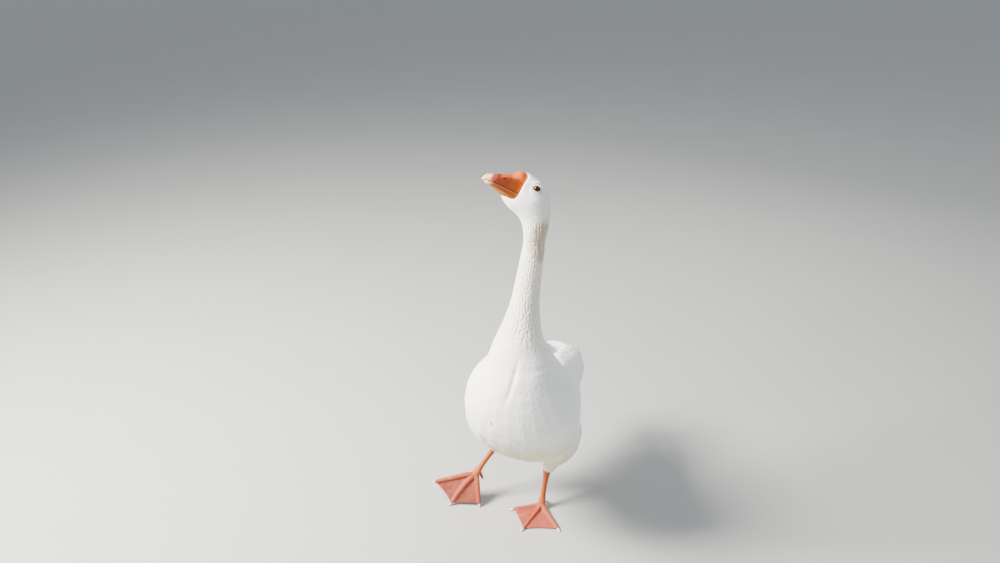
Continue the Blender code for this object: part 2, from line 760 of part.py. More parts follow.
low, high = bounds()
offset = Vector((-(low[0] + high[0]) / 2, -(low[1] + high[1]) / 2, -low[2]))
for obj in list(GOOSE.objects) + list(HELPERS.objects):
    obj.location = obj.location + offset
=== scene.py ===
"""The looks of the goose: one skin under a coat of solid vanes, flight and tail feathers, the
bill, the eyes with their lids, the scaly legs with their webs, and the claws.

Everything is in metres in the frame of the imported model. The goose faces -Y, its left is +X.
"""

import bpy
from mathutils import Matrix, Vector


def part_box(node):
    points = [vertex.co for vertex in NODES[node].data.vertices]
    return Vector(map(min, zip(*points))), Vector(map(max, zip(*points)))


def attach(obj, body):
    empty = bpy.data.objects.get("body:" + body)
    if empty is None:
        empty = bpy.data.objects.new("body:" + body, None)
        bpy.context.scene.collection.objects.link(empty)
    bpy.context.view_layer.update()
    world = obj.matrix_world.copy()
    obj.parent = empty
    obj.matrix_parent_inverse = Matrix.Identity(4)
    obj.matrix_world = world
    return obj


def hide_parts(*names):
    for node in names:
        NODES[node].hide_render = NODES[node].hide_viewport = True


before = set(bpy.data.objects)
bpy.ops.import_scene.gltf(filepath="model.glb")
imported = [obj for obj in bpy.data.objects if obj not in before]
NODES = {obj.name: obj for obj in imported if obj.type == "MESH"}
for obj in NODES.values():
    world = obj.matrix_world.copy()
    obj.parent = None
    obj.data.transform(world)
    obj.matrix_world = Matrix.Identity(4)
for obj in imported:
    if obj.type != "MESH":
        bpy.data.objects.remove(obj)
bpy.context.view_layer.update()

import math
from types import SimpleNamespace

import bmesh
import bpy
import numpy as np
from mathutils import Vector, noise
from mathutils.bvhtree import BVHTree

WINGS = ("wing_left", "wing_right")
THIGHS = ("thigh_left", "thigh_right")
FLESH = ["head", "neck_upper", "neck_middle", "neck_lower", "trunk", *WINGS, *THIGHS]
SIDES = {"left": 1.0, "right": -1.0}
TOES = ("inner", "middle", "outer")

SWELL = 0.0010  # how far the solids are swollen so that they join
SKIN_VOXEL = 0.0022
WELD = 1e-5
UP_Z = np.array((0.0, 0.0, 1.0))
rng = np.random.default_rng(20)


# ---------------------------------------------------------------- vectors and meshes
def unit(v):
    v = np.asarray(v, float)
    return v / np.maximum(np.linalg.norm(v, axis=-1, keepdims=True), 1e-12)


def ease(x, low, high):
    """0 below low, 1 above high, smooth between; the other way round if low is above high."""
    t = np.clip((np.asarray(x, float) - low) / (high - low), 0, 1)
    return t * t * (3 - 2 * t)


def tangent(v, normal):
    """The unit direction of v along the surface."""
    return unit(v - normal * (v * normal).sum(1, keepdims=True))


def bell(off, wide):
    """1 where off is 0, fading both ways."""
    return np.exp(-(off / wide) ** 2)


def varied(count, by, limit=np.inf):
    """Random factors about 1, none further from it than by * limit."""
    return 1 + by * rng.standard_normal(count).clip(-limit, limit)


def noise_at(points, scale, shift=0.0):
    """Smooth noise at each point, the places stretched by the scale."""
    places = points * scale + (0.0, 0.0, shift)
    return np.array([noise.noise(Vector(p)) for p in places.tolist()])


def read(items, key, width, kind=float):
    """One property of every vertex, edge or face, as rows of numbers."""
    found = np.empty(len(items) * width, kind)
    items.foreach_get(key, found)
    return found.reshape(-1, width)


def points_of(mesh):
    return read(mesh.vertices, "co", 3)


def edges_of(mesh):
    return read(mesh.edges, "vertices", 2, np.int32)


def normals_of(mesh):
    return read(mesh.vertex_normals, "vector", 3)


def set_points(mesh, co):
    mesh.vertices.foreach_set("co", np.asarray(co, np.float32).ravel())
    mesh.update()


def spread(values, edges, times, share=0.5):
    """Values at the vertices, each moved towards the mean of its neighbours."""
    values = np.array(values, float)
    flat = values.reshape(len(values), -1)
    a, b = edges.T
    count = np.bincount(a, minlength=len(flat)) + np.bincount(b, minlength=len(flat))
    for _ in range(times):
        for k in range(flat.shape[1]):
            column = flat[:, k]
            near = np.bincount(a, column[b], len(flat)) + np.bincount(b, column[a], len(flat))
            flat[:, k] = column + share * (near / np.maximum(count, 1) - column)
    return flat.reshape(values.shape)


def smooth_mesh(name, places, faces):
    mesh = bpy.data.meshes.new(name)
    mesh.from_pydata(places, [], faces)
    mesh.shade_smooth()
    return mesh


def linked(name, data):
    """A new object in the scene."""
    obj = bpy.data.objects.new(name, data)
    bpy.context.scene.collection.objects.link(obj)
    return obj


def swollen(nodes, swell):
    """One mesh with the shells of several solids, each swollen along its normals."""
    whole = bmesh.new()
    for node in nodes:
        part = bmesh.new()
        part.from_mesh(NODES[node].data)
        bmesh.ops.remove_doubles(part, verts=part.verts, dist=WELD)
        part.normal_update()
        for vert in part.verts:
            vert.co += vert.normal * swell
        mesh = bpy.data.meshes.new("swollen")
        part.to_mesh(mesh)
        part.free()
        whole.from_mesh(mesh)
        bpy.data.meshes.remove(mesh)
    mesh = bpy.data.meshes.new("swollen")
    whole.to_mesh(mesh)
    whole.free()
    return mesh


def fused(name, nodes, voxel, swell, smooth):
    """One mesh grown from several solids: they are swollen until they join, then remeshed,
    smoothed and drawn in again by as much."""
    mesh = swollen(nodes, swell)
    obj = linked(name, mesh)
    remesh = obj.modifiers.new("remesh", "REMESH")
    remesh.mode, remesh.voxel_size = "VOXEL", voxel
    bpy.context.view_layer.update()
    graph = bpy.context.evaluated_depsgraph_get()
    made = bpy.data.meshes.new_from_object(obj.evaluated_get(graph))
    obj.modifiers.clear()
    obj.data = made
    bpy.data.meshes.remove(mesh)
    made.name = name
    set_points(made, spread(points_of(made), edges_of(made), smooth))
    set_points(made, points_of(made) - normals_of(made) * swell)
    made.shade_smooth()
    return obj


def tree_of(nodes):
    """A search tree over several solids, and the node of each of its faces."""
    points, faces, owner = [], [], []
    for k, node in enumerate(nodes):
        mesh = NODES[node].data
        faces += [tuple(len(points) + v for v in p.vertices) for p in mesh.polygons]
        points += [tuple(v.co) for v in mesh.vertices]
        owner += [k] * len(mesh.polygons)
    return BVHTree.FromPolygons(points, faces), np.array(owner)


def distance_to(nodes, points, far):
    """How far each point is from the nearest of some solids, at most far."""
    tree, _ = tree_of(nodes)
    found = [tree.find_nearest(p, far)[3] for p in points.tolist()]
    return np.array([far if distance is None else distance for distance in found])


def nearest_node(nodes, points):
    """Which of some solids each point is nearest to."""
    tree, owner = tree_of(nodes)
    return owner[[tree.find_nearest(p)[2] for p in points.tolist()]]


def attribute(mesh, name, values):
    """One number at each vertex, for the materials."""
    layer = mesh.attributes.new(name, "FLOAT", "POINT")
    layer.data.foreach_set("value", np.asarray(values, np.float32).ravel())


def shown(obj, look, slot, *nodes):
    """A finished piece: its material, its body and the solids that it stands for, which are hidden.
    The slot is not used.
    """
    obj.data.materials.clear()
    obj.data.materials.append(look)
    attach(obj, "root")
    if nodes:
        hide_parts(*nodes)


# ---------------------------------------------------------------- places read from the frame
def middle_of(node):
    low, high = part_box(node)
    return np.array((low + high) / 2)


EYE = {side: middle_of("eye_" + side) for side in SIDES}
EYE_RADIUS = float((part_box("eye_left")[1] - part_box("eye_left")[0])[2]) / 2
EYES_MID = (EYE["left"] + EYE["right"]) / 2
HEAD_LEFT = unit(EYE["left"] - EYE["right"])
HEAD_FORWARD = unit(np.cross(HEAD_LEFT, UP_Z))
HEAD_UP = np.cross(HEAD_FORWARD, HEAD_LEFT)
MOUTH_FROM_EYES = (0.0373, -0.0096)  # the corner of the mouth, forward and up of the eyes
BILL_RAISE = math.radians(24.7)
MOUTH = EYES_MID + HEAD_FORWARD * MOUTH_FROM_EYES[0] + HEAD_UP * MOUTH_FROM_EYES[1]
BILL_OUT = HEAD_FORWARD * math.cos(BILL_RAISE) + HEAD_UP * math.sin(BILL_RAISE)
BILL_UP = HEAD_UP * math.cos(BILL_RAISE) - HEAD_FORWARD * math.sin(BILL_RAISE)


def in_head(points):
    """Forward, left and up of the middle between the eyes."""
    return (points - EYES_MID) @ np.stack([HEAD_FORWARD, HEAD_LEFT, HEAD_UP], 1)


def on_bill(points):
    """Along the mouth from its corner, to the left, and above the mouth."""
    return (points - MOUTH) @ np.stack([BILL_OUT, HEAD_LEFT, BILL_UP], 1)


HEAD_END = float(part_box("head")[0].z)
CHEEK_LOW = -0.047  # where the fine feathers of the face end, above the eyes
CHEEK_FADE = 0.008
NECK_RISE = [corner.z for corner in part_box("neck_lower")]  # from the breast's coat to the neck's


def neck_line():
    """The middle of the neck at several heights, upwards."""
    rows = []
    for node in ("neck_lower", "neck_middle", "neck_upper", "head"):
        co = points_of(NODES[node].data)
        top = HEAD_END + 0.042 if node == "head" else co[:, 2].max() - 0.006
        for level in np.linspace(co[:, 2].min() + 0.006, top, 4):
            near = co[np.abs(co[:, 2] - level) < 0.012]
            rows.append([*(near.min(0) + near.max(0))[:2] / 2, level])
    return np.array(sorted(rows, key=lambda row: row[2]))


NECK_LINE = neck_line()


def neck_middle(z):
    """x and y of the neck's middle at a height."""
    return (np.interp(z, NECK_LINE[:, 2], NECK_LINE[:, k]) for k in (0, 1))


# ---------------------------------------------------------------- the skin
# The coat's depth over each region, and of its vanes the spacing, length and width.
COAT = {
    "face": SimpleNamespace(depth=0.0008, pitch=0.00150, long=0.0060, wide=0.0024),
    "neck": SimpleNamespace(depth=0.0017, pitch=0.0036, long=0.0150, wide=0.0058),
    "breast": SimpleNamespace(depth=0.0015, pitch=0.0066, long=0.0320, wide=0.0125),
    "body": SimpleNamespace(depth=0.0020, pitch=0.0098, long=0.0400, wide=0.0180),
    "wing": SimpleNamespace(depth=0.0020, pitch=0.0095, long=0.0320, wide=0.0170),
    "leg": SimpleNamespace(depth=0.0018, pitch=0.0050, long=0.0190, wide=0.0080),
}
FURROWS = 28  # of the neck's feathers, side by side around it
BREAST_UP, BREAST_FRONT = (0.30, 0.40), (-0.06, -0.15)  # z and y where its coat fades in
# Of the groove down the left of the breast: (x, z) of its ends, its depth and width, and the
# height, place and width of the low lip beside it.
GROOVE_TOP, GROOVE_LOW = (0.0662, 0.478), (0.0543, 0.418)
GROOVE_DEPTH, GROOVE_WIDE, GROOVE_WANDER = 0.0034, 0.0040, 0.004
LIP_HIGH, LIP_AT, LIP_WIDE = 0.0006, 0.010, 0.006
# The fold between the breast and the lifted right thigh, its depth and its two widths.
FOLD_FROM, FOLD_TO = np.array((-0.010, -0.2070, 0.3020)), np.array((0.0260, -0.1830, 0.2500))
FOLD_DEPTH, FOLD_WIDE, FOLD_BROAD = 0.0030, 0.0045, 0.0100
FOLD_SHIFT = (-0.004, 0.0, 0.009)
RELIEF = 0.0005  # of the soft unevenness of the breast and body
RING_HIGH, RING_AT, RING_WIDE = 0.0012, 0.0098, 0.0026  # of the raised ring round each eye
# The brow, the hollow before the eye and the cheek: height, and from the eye the place and
# the reach forward, then upward.
FACE_FORMS = [(0.0010, 0.002, 0.009, 0.0105, 0.003), (-0.0011, 0.017, 0.006, 0.001, 0.007),
              (0.0016, 0.006, 0.015, -0.024, 0.010)]


def on(label, *nodes):
    """1 at the vertices that lie on these nodes of the flesh, 0 at the others."""
    return np.isin(label, [FLESH.index(node) for node in nodes]).astype(float)


def blend(share, key):
    """One of the coat's measures at each vertex."""
    return sum(share[name] * getattr(kind, key) for name, kind in COAT.items())


def regions(co, label):
    """How much of each region of the coat there is at each vertex."""
    head, lower = on(label, "head"), on(label, "neck_lower")
    up_neck = ease(co[:, 2], *NECK_RISE)
    cheek = ease(in_head(co)[:, 2], CHEEK_LOW - CHEEK_FADE, CHEEK_LOW + CHEEK_FADE)
    front = ease(co[:, 2], *BREAST_UP) * ease(co[:, 1], *BREAST_FRONT)
    trunk = on(label, "trunk") + lower * (1 - up_neck)
    breast = trunk * np.maximum(front, lower)
    return {
        "face": head * cheek,
        "neck": on(label, "neck_upper", "neck_middle") + head * (1 - cheek) + lower * up_neck,
        "breast": breast,
        "body": trunk - breast,
        "wing": on(label, *WINGS),
        "leg": on(label, *THIGHS),
    }


SOLVER_STEPS, SOLVED = 1500, 1e-11


def harmonic(co, edges, low, high):
    """The smoothest field over the mesh that is 0 at the low vertices and 1 at the high ones,
    by conjugate gradients."""
    a, b = edges.T
    n = len(co)
    fixed = low | high
    u = ease(co[:, 2], 0.8, 0.2)
    u[low], u[high] = 0.0, 1.0

    def pull(v):
        flow = v[a] - v[b]
        out = np.bincount(a, flow, n) - np.bincount(b, flow, n)
        out[fixed] = 0.0
        return out

    r = -pull(u)
    p, size = r.copy(), r @ r
    for _ in range(SOLVER_STEPS):
        ap = pull(p)
        step = size / max(p @ ap, 1e-30)
        u += step * p
        r -= step * ap
        new = r @ r
        if new < SOLVED:
            break
        p = r + (new / size) * p
        size = new
    return u


def flow_of(co, normal, edges, field):
    """The direction in which the field grows fastest, along the surface."""
    a, b = edges.T
    d = co[b] - co[a]
    slope = (field[b] - field[a])[:, None] * d / np.maximum((d * d).sum(1), 1e-12)[:, None]
    flow = unit(np.stack([np.bincount(a, part, len(co)) + np.bincount(b, part, len(co))
                          for part in slope.T], 1))
    for _ in range(6):
        flow = unit(spread(tangent(flow, normal), edges, 4, 0.8))
    return tangent(flow, normal)


def near_line(co, start, end, width):
    """1 on the line between two places, fading to the sides and towards its ends."""
    t = (co - start) @ (end - start) / ((end - start) @ (end - start))
    off = np.linalg.norm(co - start - np.clip(t, 0, 1)[:, None] * (end - start), axis=1)
    return bell(off, width) * ease(t, -0.1, 0.2) * ease(t, 1.1, 0.7)


def groove(co):
    """The furrow down the left of the breast, with a low lip beside it."""
    (x0, z0), (x1, z1) = GROOVE_TOP, GROOVE_LOW
    t = np.clip((z0 - co[:, 2]) / (z0 - z1), -0.5, 1.5)
    off = co[:, 0] - (x0 + (x1 - x0) * t) + GROOVE_WANDER * noise_at(co, (12, 12, 22))
    along = ease(t, -0.4, 0.2) * ease(t, 1.4, 0.8) * (co[:, 1] < -0.12)
    lip = LIP_HIGH * bell(off - LIP_AT, LIP_WIDE)
    return along * (lip - GROOVE_DEPTH * bell(off, GROOVE_WIDE))


def sculpted(co, normal, share):
    """The forms that the solids leave out: the breast's groove, the fold by the right thigh,
    the soft unevenness of the body, and the ring, brow, hollow and cheek about each eye."""
    out = groove(co)
    out -= FOLD_DEPTH * near_line(co, FOLD_FROM, FOLD_TO, FOLD_WIDE)
    out -= FOLD_DEPTH * near_line(co + FOLD_SHIFT, FOLD_FROM, FOLD_TO, FOLD_BROAD)
    out += RELIEF * (share["breast"] + share["body"]) * noise_at(co, (30, 24, 24), 7)
    ahead, left, up = in_head(co).T
    for sign in SIDES.values():
        near = (left * sign > 0) * share["face"]
        out += RING_HIGH * near * bell(np.hypot(ahead, up) - RING_AT, RING_WIDE)
        for high, at, long, above, tall in FACE_FORMS:
            out += high * near * bell(ahead - at, long) * bell(up - above, tall)
    return co + normal * out[:, None]


# Pairs of groups of FLESH that the feathers join with no step, and how broad each join is.
JOINS = [(WINGS, ("neck_lower", "trunk"), 8), (THIGHS, ("trunk",), 28),
         (("neck_lower",), ("trunk",), 20)]
WINGS_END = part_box("wing_left")[1].y - 0.030  # where the wings' solids turn blunt
WING_END_SUNK = 0.005  # how far their ends are drawn in under the long feathers


def wing_ends(co, label):
    """The blunt ends of the wings' solids."""
    return on(label, *WINGS) * ease(co[:, 1], WINGS_END - 0.004, WINGS_END + 0.014)


def joins(co, label, edges):
    """Where the groups of solids meet, and the ends of the wings."""
    found = wing_ends(co, label)
    for first, second, broad in JOINS:
        one, other = (spread(on(label, *group), edges, broad, 0.9) for group in (first, second))
        found = np.maximum(found, np.clip(4 * one * other, 0, 1))
    return found


def head_join(co):
    """Where the head joins the neck, whose solids meet in a step."""
    z = co[:, 2]
    return ease(z, HEAD_END - 0.030, HEAD_END - 0.010) * ease(z, HEAD_END + 0.045, HEAD_END + 0.012)


def faired(co, edges, label):
    """The skin with the steps between the solids smoothed out."""
    join = spread(head_join(co), edges, 4)[:, None]
    join_more = spread(joins(co, label, edges), edges, 4)[:, None]
    soft = spread(co, edges, 60)
    near = spread(co, edges, 3) * (1 - join) + soft * join
    return near * (1 - join_more) + spread(soft, edges, 110) * join_more


REACH = 0.02  # how far out the bill and the shanks are looked for
BILL_BARE, SHANK_BARE, EYE_BARE = 0.0009, 0.0012, 0.0008  # with no feathers nearer than these
BILL_START, SHANK_STOP, TAIL_STOP = 0.002, 0.003, 0.012  # where the lie of the coat is held


def lie_of_coat(co, normal, edges):
    """The way the feathers lie, from the bill to the shanks and the tail, and where the skin
    has none."""
    to_bill = distance_to(["bill_upper", "bill_lower", "bill_knob"], co, REACH)
    to_shank = distance_to(["shank_left", "shank_right"], co, REACH)
    to_eye = np.minimum(*(np.linalg.norm(co - EYE[side], axis=1) for side in SIDES))
    ends = (to_shank < SHANK_STOP) | (co[:, 1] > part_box("trunk")[1].y - TAIL_STOP)
    flow = flow_of(co, normal, edges, harmonic(co, edges, to_bill < BILL_START, ends))
    at_eye = to_eye < EYE_RADIUS + EYE_BARE
    return flow, (to_bill < BILL_BARE) | at_eye | (to_shank < SHANK_BARE)


def build_skin():
    """The skin's object, and what the coat reads from it."""
    obj = fused("skin", FLESH, SKIN_VOXEL, SWELL, 10)
    mesh = obj.data
    edges, co = edges_of(mesh), points_of(mesh)
    label = nearest_node(FLESH, co)
    share = {name: spread(value, edges, 14, 0.9) for name, value in regions(co, label).items()}
    depth = blend(share, "depth") + WING_END_SUNK * spread(wing_ends(co, label), edges, 8)
    set_points(mesh, faired(co, edges, label))
    normal = normals_of(mesh)
    set_points(mesh, sculpted(points_of(mesh), normal, share) - normal * depth[:, None])
    set_points(mesh, spread(points_of(mesh), edges, 1))
    co, normal = points_of(mesh), unit(normals_of(mesh))
    flow, bare = lie_of_coat(co, normal, edges)
    faces = read(mesh.polygons, "vertices", 4, np.int32)
    tree = BVHTree.FromPolygons(co.tolist(), faces.tolist())
    return obj, SimpleNamespace(co=co, normal=normal, flow=flow, share=share, bare=bare,
                                faces=faces, tree=tree)


def sample(skin, points):
    """The nearest places on the skin, with the normal and the flow there."""
    found = [skin.tree.find_nearest(p) for p in points.reshape(-1, 3).tolist()]
    at = np.array([f[0][:] for f in found])
    corner = skin.faces[[f[2] for f in found]]
    weight = 1 / (np.linalg.norm(skin.co[corner] - at[:, None], axis=2) + 1e-5)
    weight = (weight / weight.sum(1, keepdims=True))[..., None]
    normal = unit((skin.normal[corner] * weight).sum(1))
    flow = tangent((skin.flow[corner] * weight).sum(1), normal)
    return (x.reshape(points.shape) for x in (at, normal, flow))


# ---------------------------------------------------------------- vanes
def turned(v, axis, angle):
    angle = np.asarray(angle)[:, None]
    return v * np.cos(angle) + np.cross(axis, v) * np.sin(angle)


def outline(v, blunt):
    """Half the width of a vane along its length, as a share of the most."""
    base = np.clip(v / 0.30, 0, 1) ** 0.6 * 0.45 + 0.55 * np.clip(v / 0.62, 0, 1) ** 0.9
    tip = 1 - (1 - blunt) * ease(v, 0.62, 1.0)
    return base * tip


def drawn_back(wide, long, round_tip, ragged, v, u):
    """How far the points of vanes lie behind a square tip, which is rounded and a little torn."""
    v = v[:, None]
    back = (wide * round_tip / 2)[:, None, None] * v ** 5 * (u * u)
    torn = long[:, None, None] * ragged * v ** 6 * rng.random((len(wide), 1, len(u))) ** 2
    return (back + torn)[..., None]


def walk(skin, at, normal, head, step, rows, follow, stiff):
    """Lines of points along the skin, with the normal and the heading at each."""
    line, normals, heads = [at], [normal], [head]
    for _ in range(rows - 1):
        ahead = at + head * step
        down, normal_there, flow = sample(skin, ahead)
        at = down + (ahead - down) * stiff
        normal = unit(normal_there * (1 - stiff) + normal * stiff)
        head = tangent(unit(head * (1 - follow) + flow * follow), normal)
        line.append(at)
        normals.append(normal)
        heads.append(head)
    return (np.stack(x, 1) for x in (line, normals, heads))


def arched(low, middle, high, u):
    """Rows of points on the parabolas through both edges and the middle."""
    u = u[:, None]
    low, middle, high = (x[:, :, None] for x in (low, middle, high))
    return middle * (1 - u * u) + low * (u * (u - 1) / 2) + high * (u * (u + 1) / 2)


LONG_VARIES = 0.10
VANE_SUNK = 0.25  # how far a root lies under the coat, of its depth
VANE_CREST = 0.80  # where along a vane it is highest
VANE_ROUND = 0.55


def lay(skin, roots, long, wide, depth, rows, columns, blunt=0.55, camber=0.22, yaw=0.07,
        lift=0.12, ragged=0.05, follow=0.5, stiff=0.0, droop=0.40):
    """Vanes along the skin from their roots: each a grid of rows by columns, its root under
    the coat and its tip at the coat's surface."""
    n = len(roots)
    long, wide, depth = (np.broadcast_to(np.asarray(x, float), n) for x in (long, wide, depth))
    long = long * varied(n, LONG_VARIES, 2)
    depth = depth * varied(n, lift, 2)
    at, normal, flow = sample(skin, roots)
    head = turned(flow, normal, yaw * rng.standard_normal(n).clip(-2.5, 2.5))
    step = (long / (rows - 1))[:, None]
    line, normals, heads = walk(skin, at, normal, head, step, rows, follow, stiff)
    v, u = np.linspace(0, 1, rows), np.linspace(-1, 1, columns)
    side = np.cross(normals, heads) * (wide[:, None] / 2 * outline(v, blunt))[..., None]
    edges, edge_normals = [], []
    for sign in (-1, 1):
        beside = line + side * sign
        down, there, _ = sample(skin, beside)
        edges.append(down + (beside - down) * stiff)
        edge_normals.append(there)
    place = arched(edges[0], line, edges[1], u)
    out = unit(arched(edge_normals[0], normals, edge_normals[1], u))
    far = v[:, None]
    rise = (1 + VANE_SUNK) * (far / VANE_CREST).clip(0, 1) ** 0.8 - VANE_SUNK
    rise = rise - droop * ease(far, VANE_CREST, 1.0) - camber * (u * u) * ease(far, 0, 0.3)
    place = place + out * (depth[:, None, None] * rise)[..., None]
    place = place - heads[:, :, None] * drawn_back(wide, long, VANE_ROUND, ragged, v, u)
    return SimpleNamespace(place=place, out=out, root=roots, root_normal=normals[:, 0], u=u, v=v)


def thinned(points, reach):
    """The points, in turn, that lie no nearer than their reach to one kept before."""
    cell = float(reach.max())
    steps = [(i, j, k) for i in (-1, 0, 1) for j in (-1, 0, 1) for k in (-1, 0, 1)]
    grid, kept = {}, []
    cells = np.floor(points / cell).astype(int).tolist()
    for index, ((x, y, z), p, gap) in enumerate(zip(cells, points.tolist(), (reach ** 2).tolist())):
        near = (q for i, j, k in steps for q in grid.get((x + i, y + j, z + k), ()))
        if all((p[0] - q[0]) ** 2 + (p[1] - q[1]) ** 2 + (p[2] - q[2]) ** 2 >= gap for q in near):
            grid.setdefault((x, y, z), []).append(p)
            kept.append(index)
    return kept


ROOT_TRIES = 9  # roots drawn for each that may fit


def scattered(skin, names, keep=None):
    """Roots over the part of the skin where these regions lead, no two nearer than the coat's
    spacing there, with the coat's measures at each."""
    corners = skin.co[skin.faces]
    a, b, c, d = (corners[:, k] for k in range(4))
    area = (np.linalg.norm(np.cross(b - a, c - a), axis=1)
            + np.linalg.norm(np.cross(c - a, d - a), axis=1)) / 2
    own = sum(skin.share[name] for name in names)[skin.faces].mean(1)
    pitch = blend(skin.share, "pitch")[skin.faces].mean(1)
    wanted = (own > 0.5) & ~skin.bare[skin.faces].any(1)
    if keep is not None:
        wanted &= keep(corners.mean(1))
    chance = np.where(wanted, area / pitch ** 2, 0)
    count = int(chance.sum() * ROOT_TRIES)
    picked = rng.choice(len(skin.faces), count, p=chance / chance.sum())
    s, t = rng.random((2, count, 1))
    a, b, c, d = (corners[picked, k] for k in range(4))
    points = (a * (1 - s) + b * s) * (1 - t) + (d * (1 - s) + c * s) * t
    kept = thinned(points, pitch[picked])
    face = skin.faces[picked[kept]]
    measures = {key: blend(skin.share, key)[face].mean(1) for key in ("depth", "long", "wide")}
    return points[kept], SimpleNamespace(**measures)


def unwrapped(root, normal):
    """Where each root lies on the skin's own unwrap, of six charts by the way the skin faces,
    spread over the whole map."""
    axis = np.argmax(np.abs(normal), axis=1)
    side = np.take_along_axis(normal, axis[:, None], 1)[:, 0] > 0
    first, second = np.where(axis == 0, 1, 0), np.where(axis == 2, 1, 2)
    low, high = root.min(0), root.max(0)
    scaled = (root - low) / np.maximum(high - low, 1e-6)
    a = np.take_along_axis(scaled, first[:, None], 1)[:, 0]
    b = np.take_along_axis(scaled, second[:, None], 1)[:, 0]
    at = np.stack([(axis + 0.03 + 0.92 * a) / 3, (side + 0.03 + 0.93 * b) / 2], 1)
    return 0.02 + 0.96 * (at - at.min(0)) / np.ptp(at, axis=0)


PATCH = 0.003  # how much of the map one vane covers


def grid_faces(start, shape):
    """The quads of grids whose points are numbered from start."""
    index = start + np.arange(math.prod(shape)).reshape(shape)
    return np.stack([index[:, :-1, :-1], index[:, 1:, :-1],
                     index[:, 1:, 1:], index[:, :-1, 1:]], -1).reshape(-1, 4)


def grid_normals(vanes, soften):
    """The vanes' own normals, softened towards those of the coat."""
    own = unit(np.cross(np.gradient(vanes.place, axis=2), np.gradient(vanes.place, axis=1)))
    own *= np.sign((own * vanes.out).sum(-1, keepdims=True) + 1e-9)
    return unit(own * (1 - soften) + vanes.out * soften).reshape(-1, 3)


def coat(name, sets, look, soften, *nodes):
    """One piece from several sets of vanes, with softened normals, the map along each vane, the
    OFBake map of each vane's root on the skin's unwrap, and a tone for each vane."""
    roots = unwrapped(*(np.concatenate(x) for x in zip(*((v.root, v.root_normal) for v in sets))))
    parts, start = [], 0
    for vanes in sets:
        shape = vanes.place.shape[:3]
        grid = np.stack(np.meshgrid(vanes.v, (vanes.u + 1) / 2, indexing="ij")[::-1], -1)
        at, roots = roots[:shape[0], None, None], roots[shape[0]:]
        parts.append((vanes.place.reshape(-1, 3), grid_normals(vanes, soften),
                      grid_faces(start, shape), (at + (grid - 0.5) * PATCH).reshape(-1, 2),
                      np.broadcast_to(grid, (*shape, 2)).reshape(-1, 2),
                      np.repeat(rng.random(shape[0]), shape[1] * shape[2])))
        start += math.prod(shape)
    places, normals, faces, bake_map, vane_map, tone = (np.concatenate(x) for x in zip(*parts))
    mesh = smooth_mesh(name, places.tolist(), faces.tolist())
    for title, values in (("OFBake", bake_map), ("vane", vane_map)):
        layer = mesh.uv_layers.new(name=title)
        layer.uv.foreach_set("vector", values[faces.ravel()].astype(np.float32).ravel())
    attribute(mesh, "tone", tone)
    mesh.normals_split_custom_set_from_vertices(normals.tolist())
    shown(linked(name, mesh), look, "plumage", *nodes)


ALONG = np.linspace(0, 1, 14)  # the rows of a free feather
ACROSS = np.linspace(-1, 1, 7)
BLADE_RAGGED = 0.03


def blades(lines, normals, wide, blunt, cup, round_tip=0.5):
    """Free feathers along lines of points, one after another: flight and tail feathers."""
    normals = unit(normals)
    heads = unit(np.gradient(lines, axis=1))
    across = np.cross(normals, heads)
    wide = np.broadcast_to(wide, lines.shape[:2])
    half = (wide / 2 * outline(ALONG, blunt))[:, :, None]
    side = unit(across)[:, :, None] * (half * ACROSS)[..., None]
    sunk = (half * cup * (ACROSS * ACROSS))[..., None]
    long = np.linalg.norm(lines[:, -1] - lines[:, 0], axis=1)
    back = drawn_back(wide[:, -1], long, round_tip, BLADE_RAGGED, ALONG, ACROSS)
    place = lines[:, :, None] + side - normals[:, :, None] * sunk - heads[:, :, None] * back
    out = unit(normals[:, :, None] + across[:, :, None] * (cup * ACROSS)[:, None])
    return SimpleNamespace(place=place, out=out, root=lines[:, 0], root_normal=normals[:, 0],
                           u=ACROSS, v=ALONG)


# ---------------------------------------------------------------- wings and tail
# Rows of a folded wing from the shoulder back: where along the wing its roots are, how many
# feathers it has, their length and their width.
WING_ROWS = [
    (0.004, 7, 0.034, 0.018), (0.016, 8, 0.036, 0.019), (0.029, 9, 0.038, 0.020),
    (0.043, 10, 0.041, 0.021), (0.058, 10, 0.045, 0.022), (0.075, 10, 0.051, 0.023),
    (0.094, 10, 0.060, 0.024), (0.115, 9, 0.072, 0.026), (0.138, 8, 0.088, 0.028),
    (0.164, 7, 0.104, 0.030), (0.192, 6, 0.118, 0.031),
]
WING_SLANT = 0.016  # how much further back the upper roots are
WING_LIFT = 0.0026


def cross_section(mesh, y):
    """Where the edges of a mesh cross the plane at y."""
    co, (a, b) = points_of(mesh), edges_of(mesh).T
    ya, yb = co[a, 1] - y, co[b, 1] - y
    crossed = ya * yb < 0
    a, b, t = a[crossed], b[crossed], (ya / (ya - yb + 1e-12))[crossed]
    return co[a] + (co[b] - co[a]) * t[:, None]


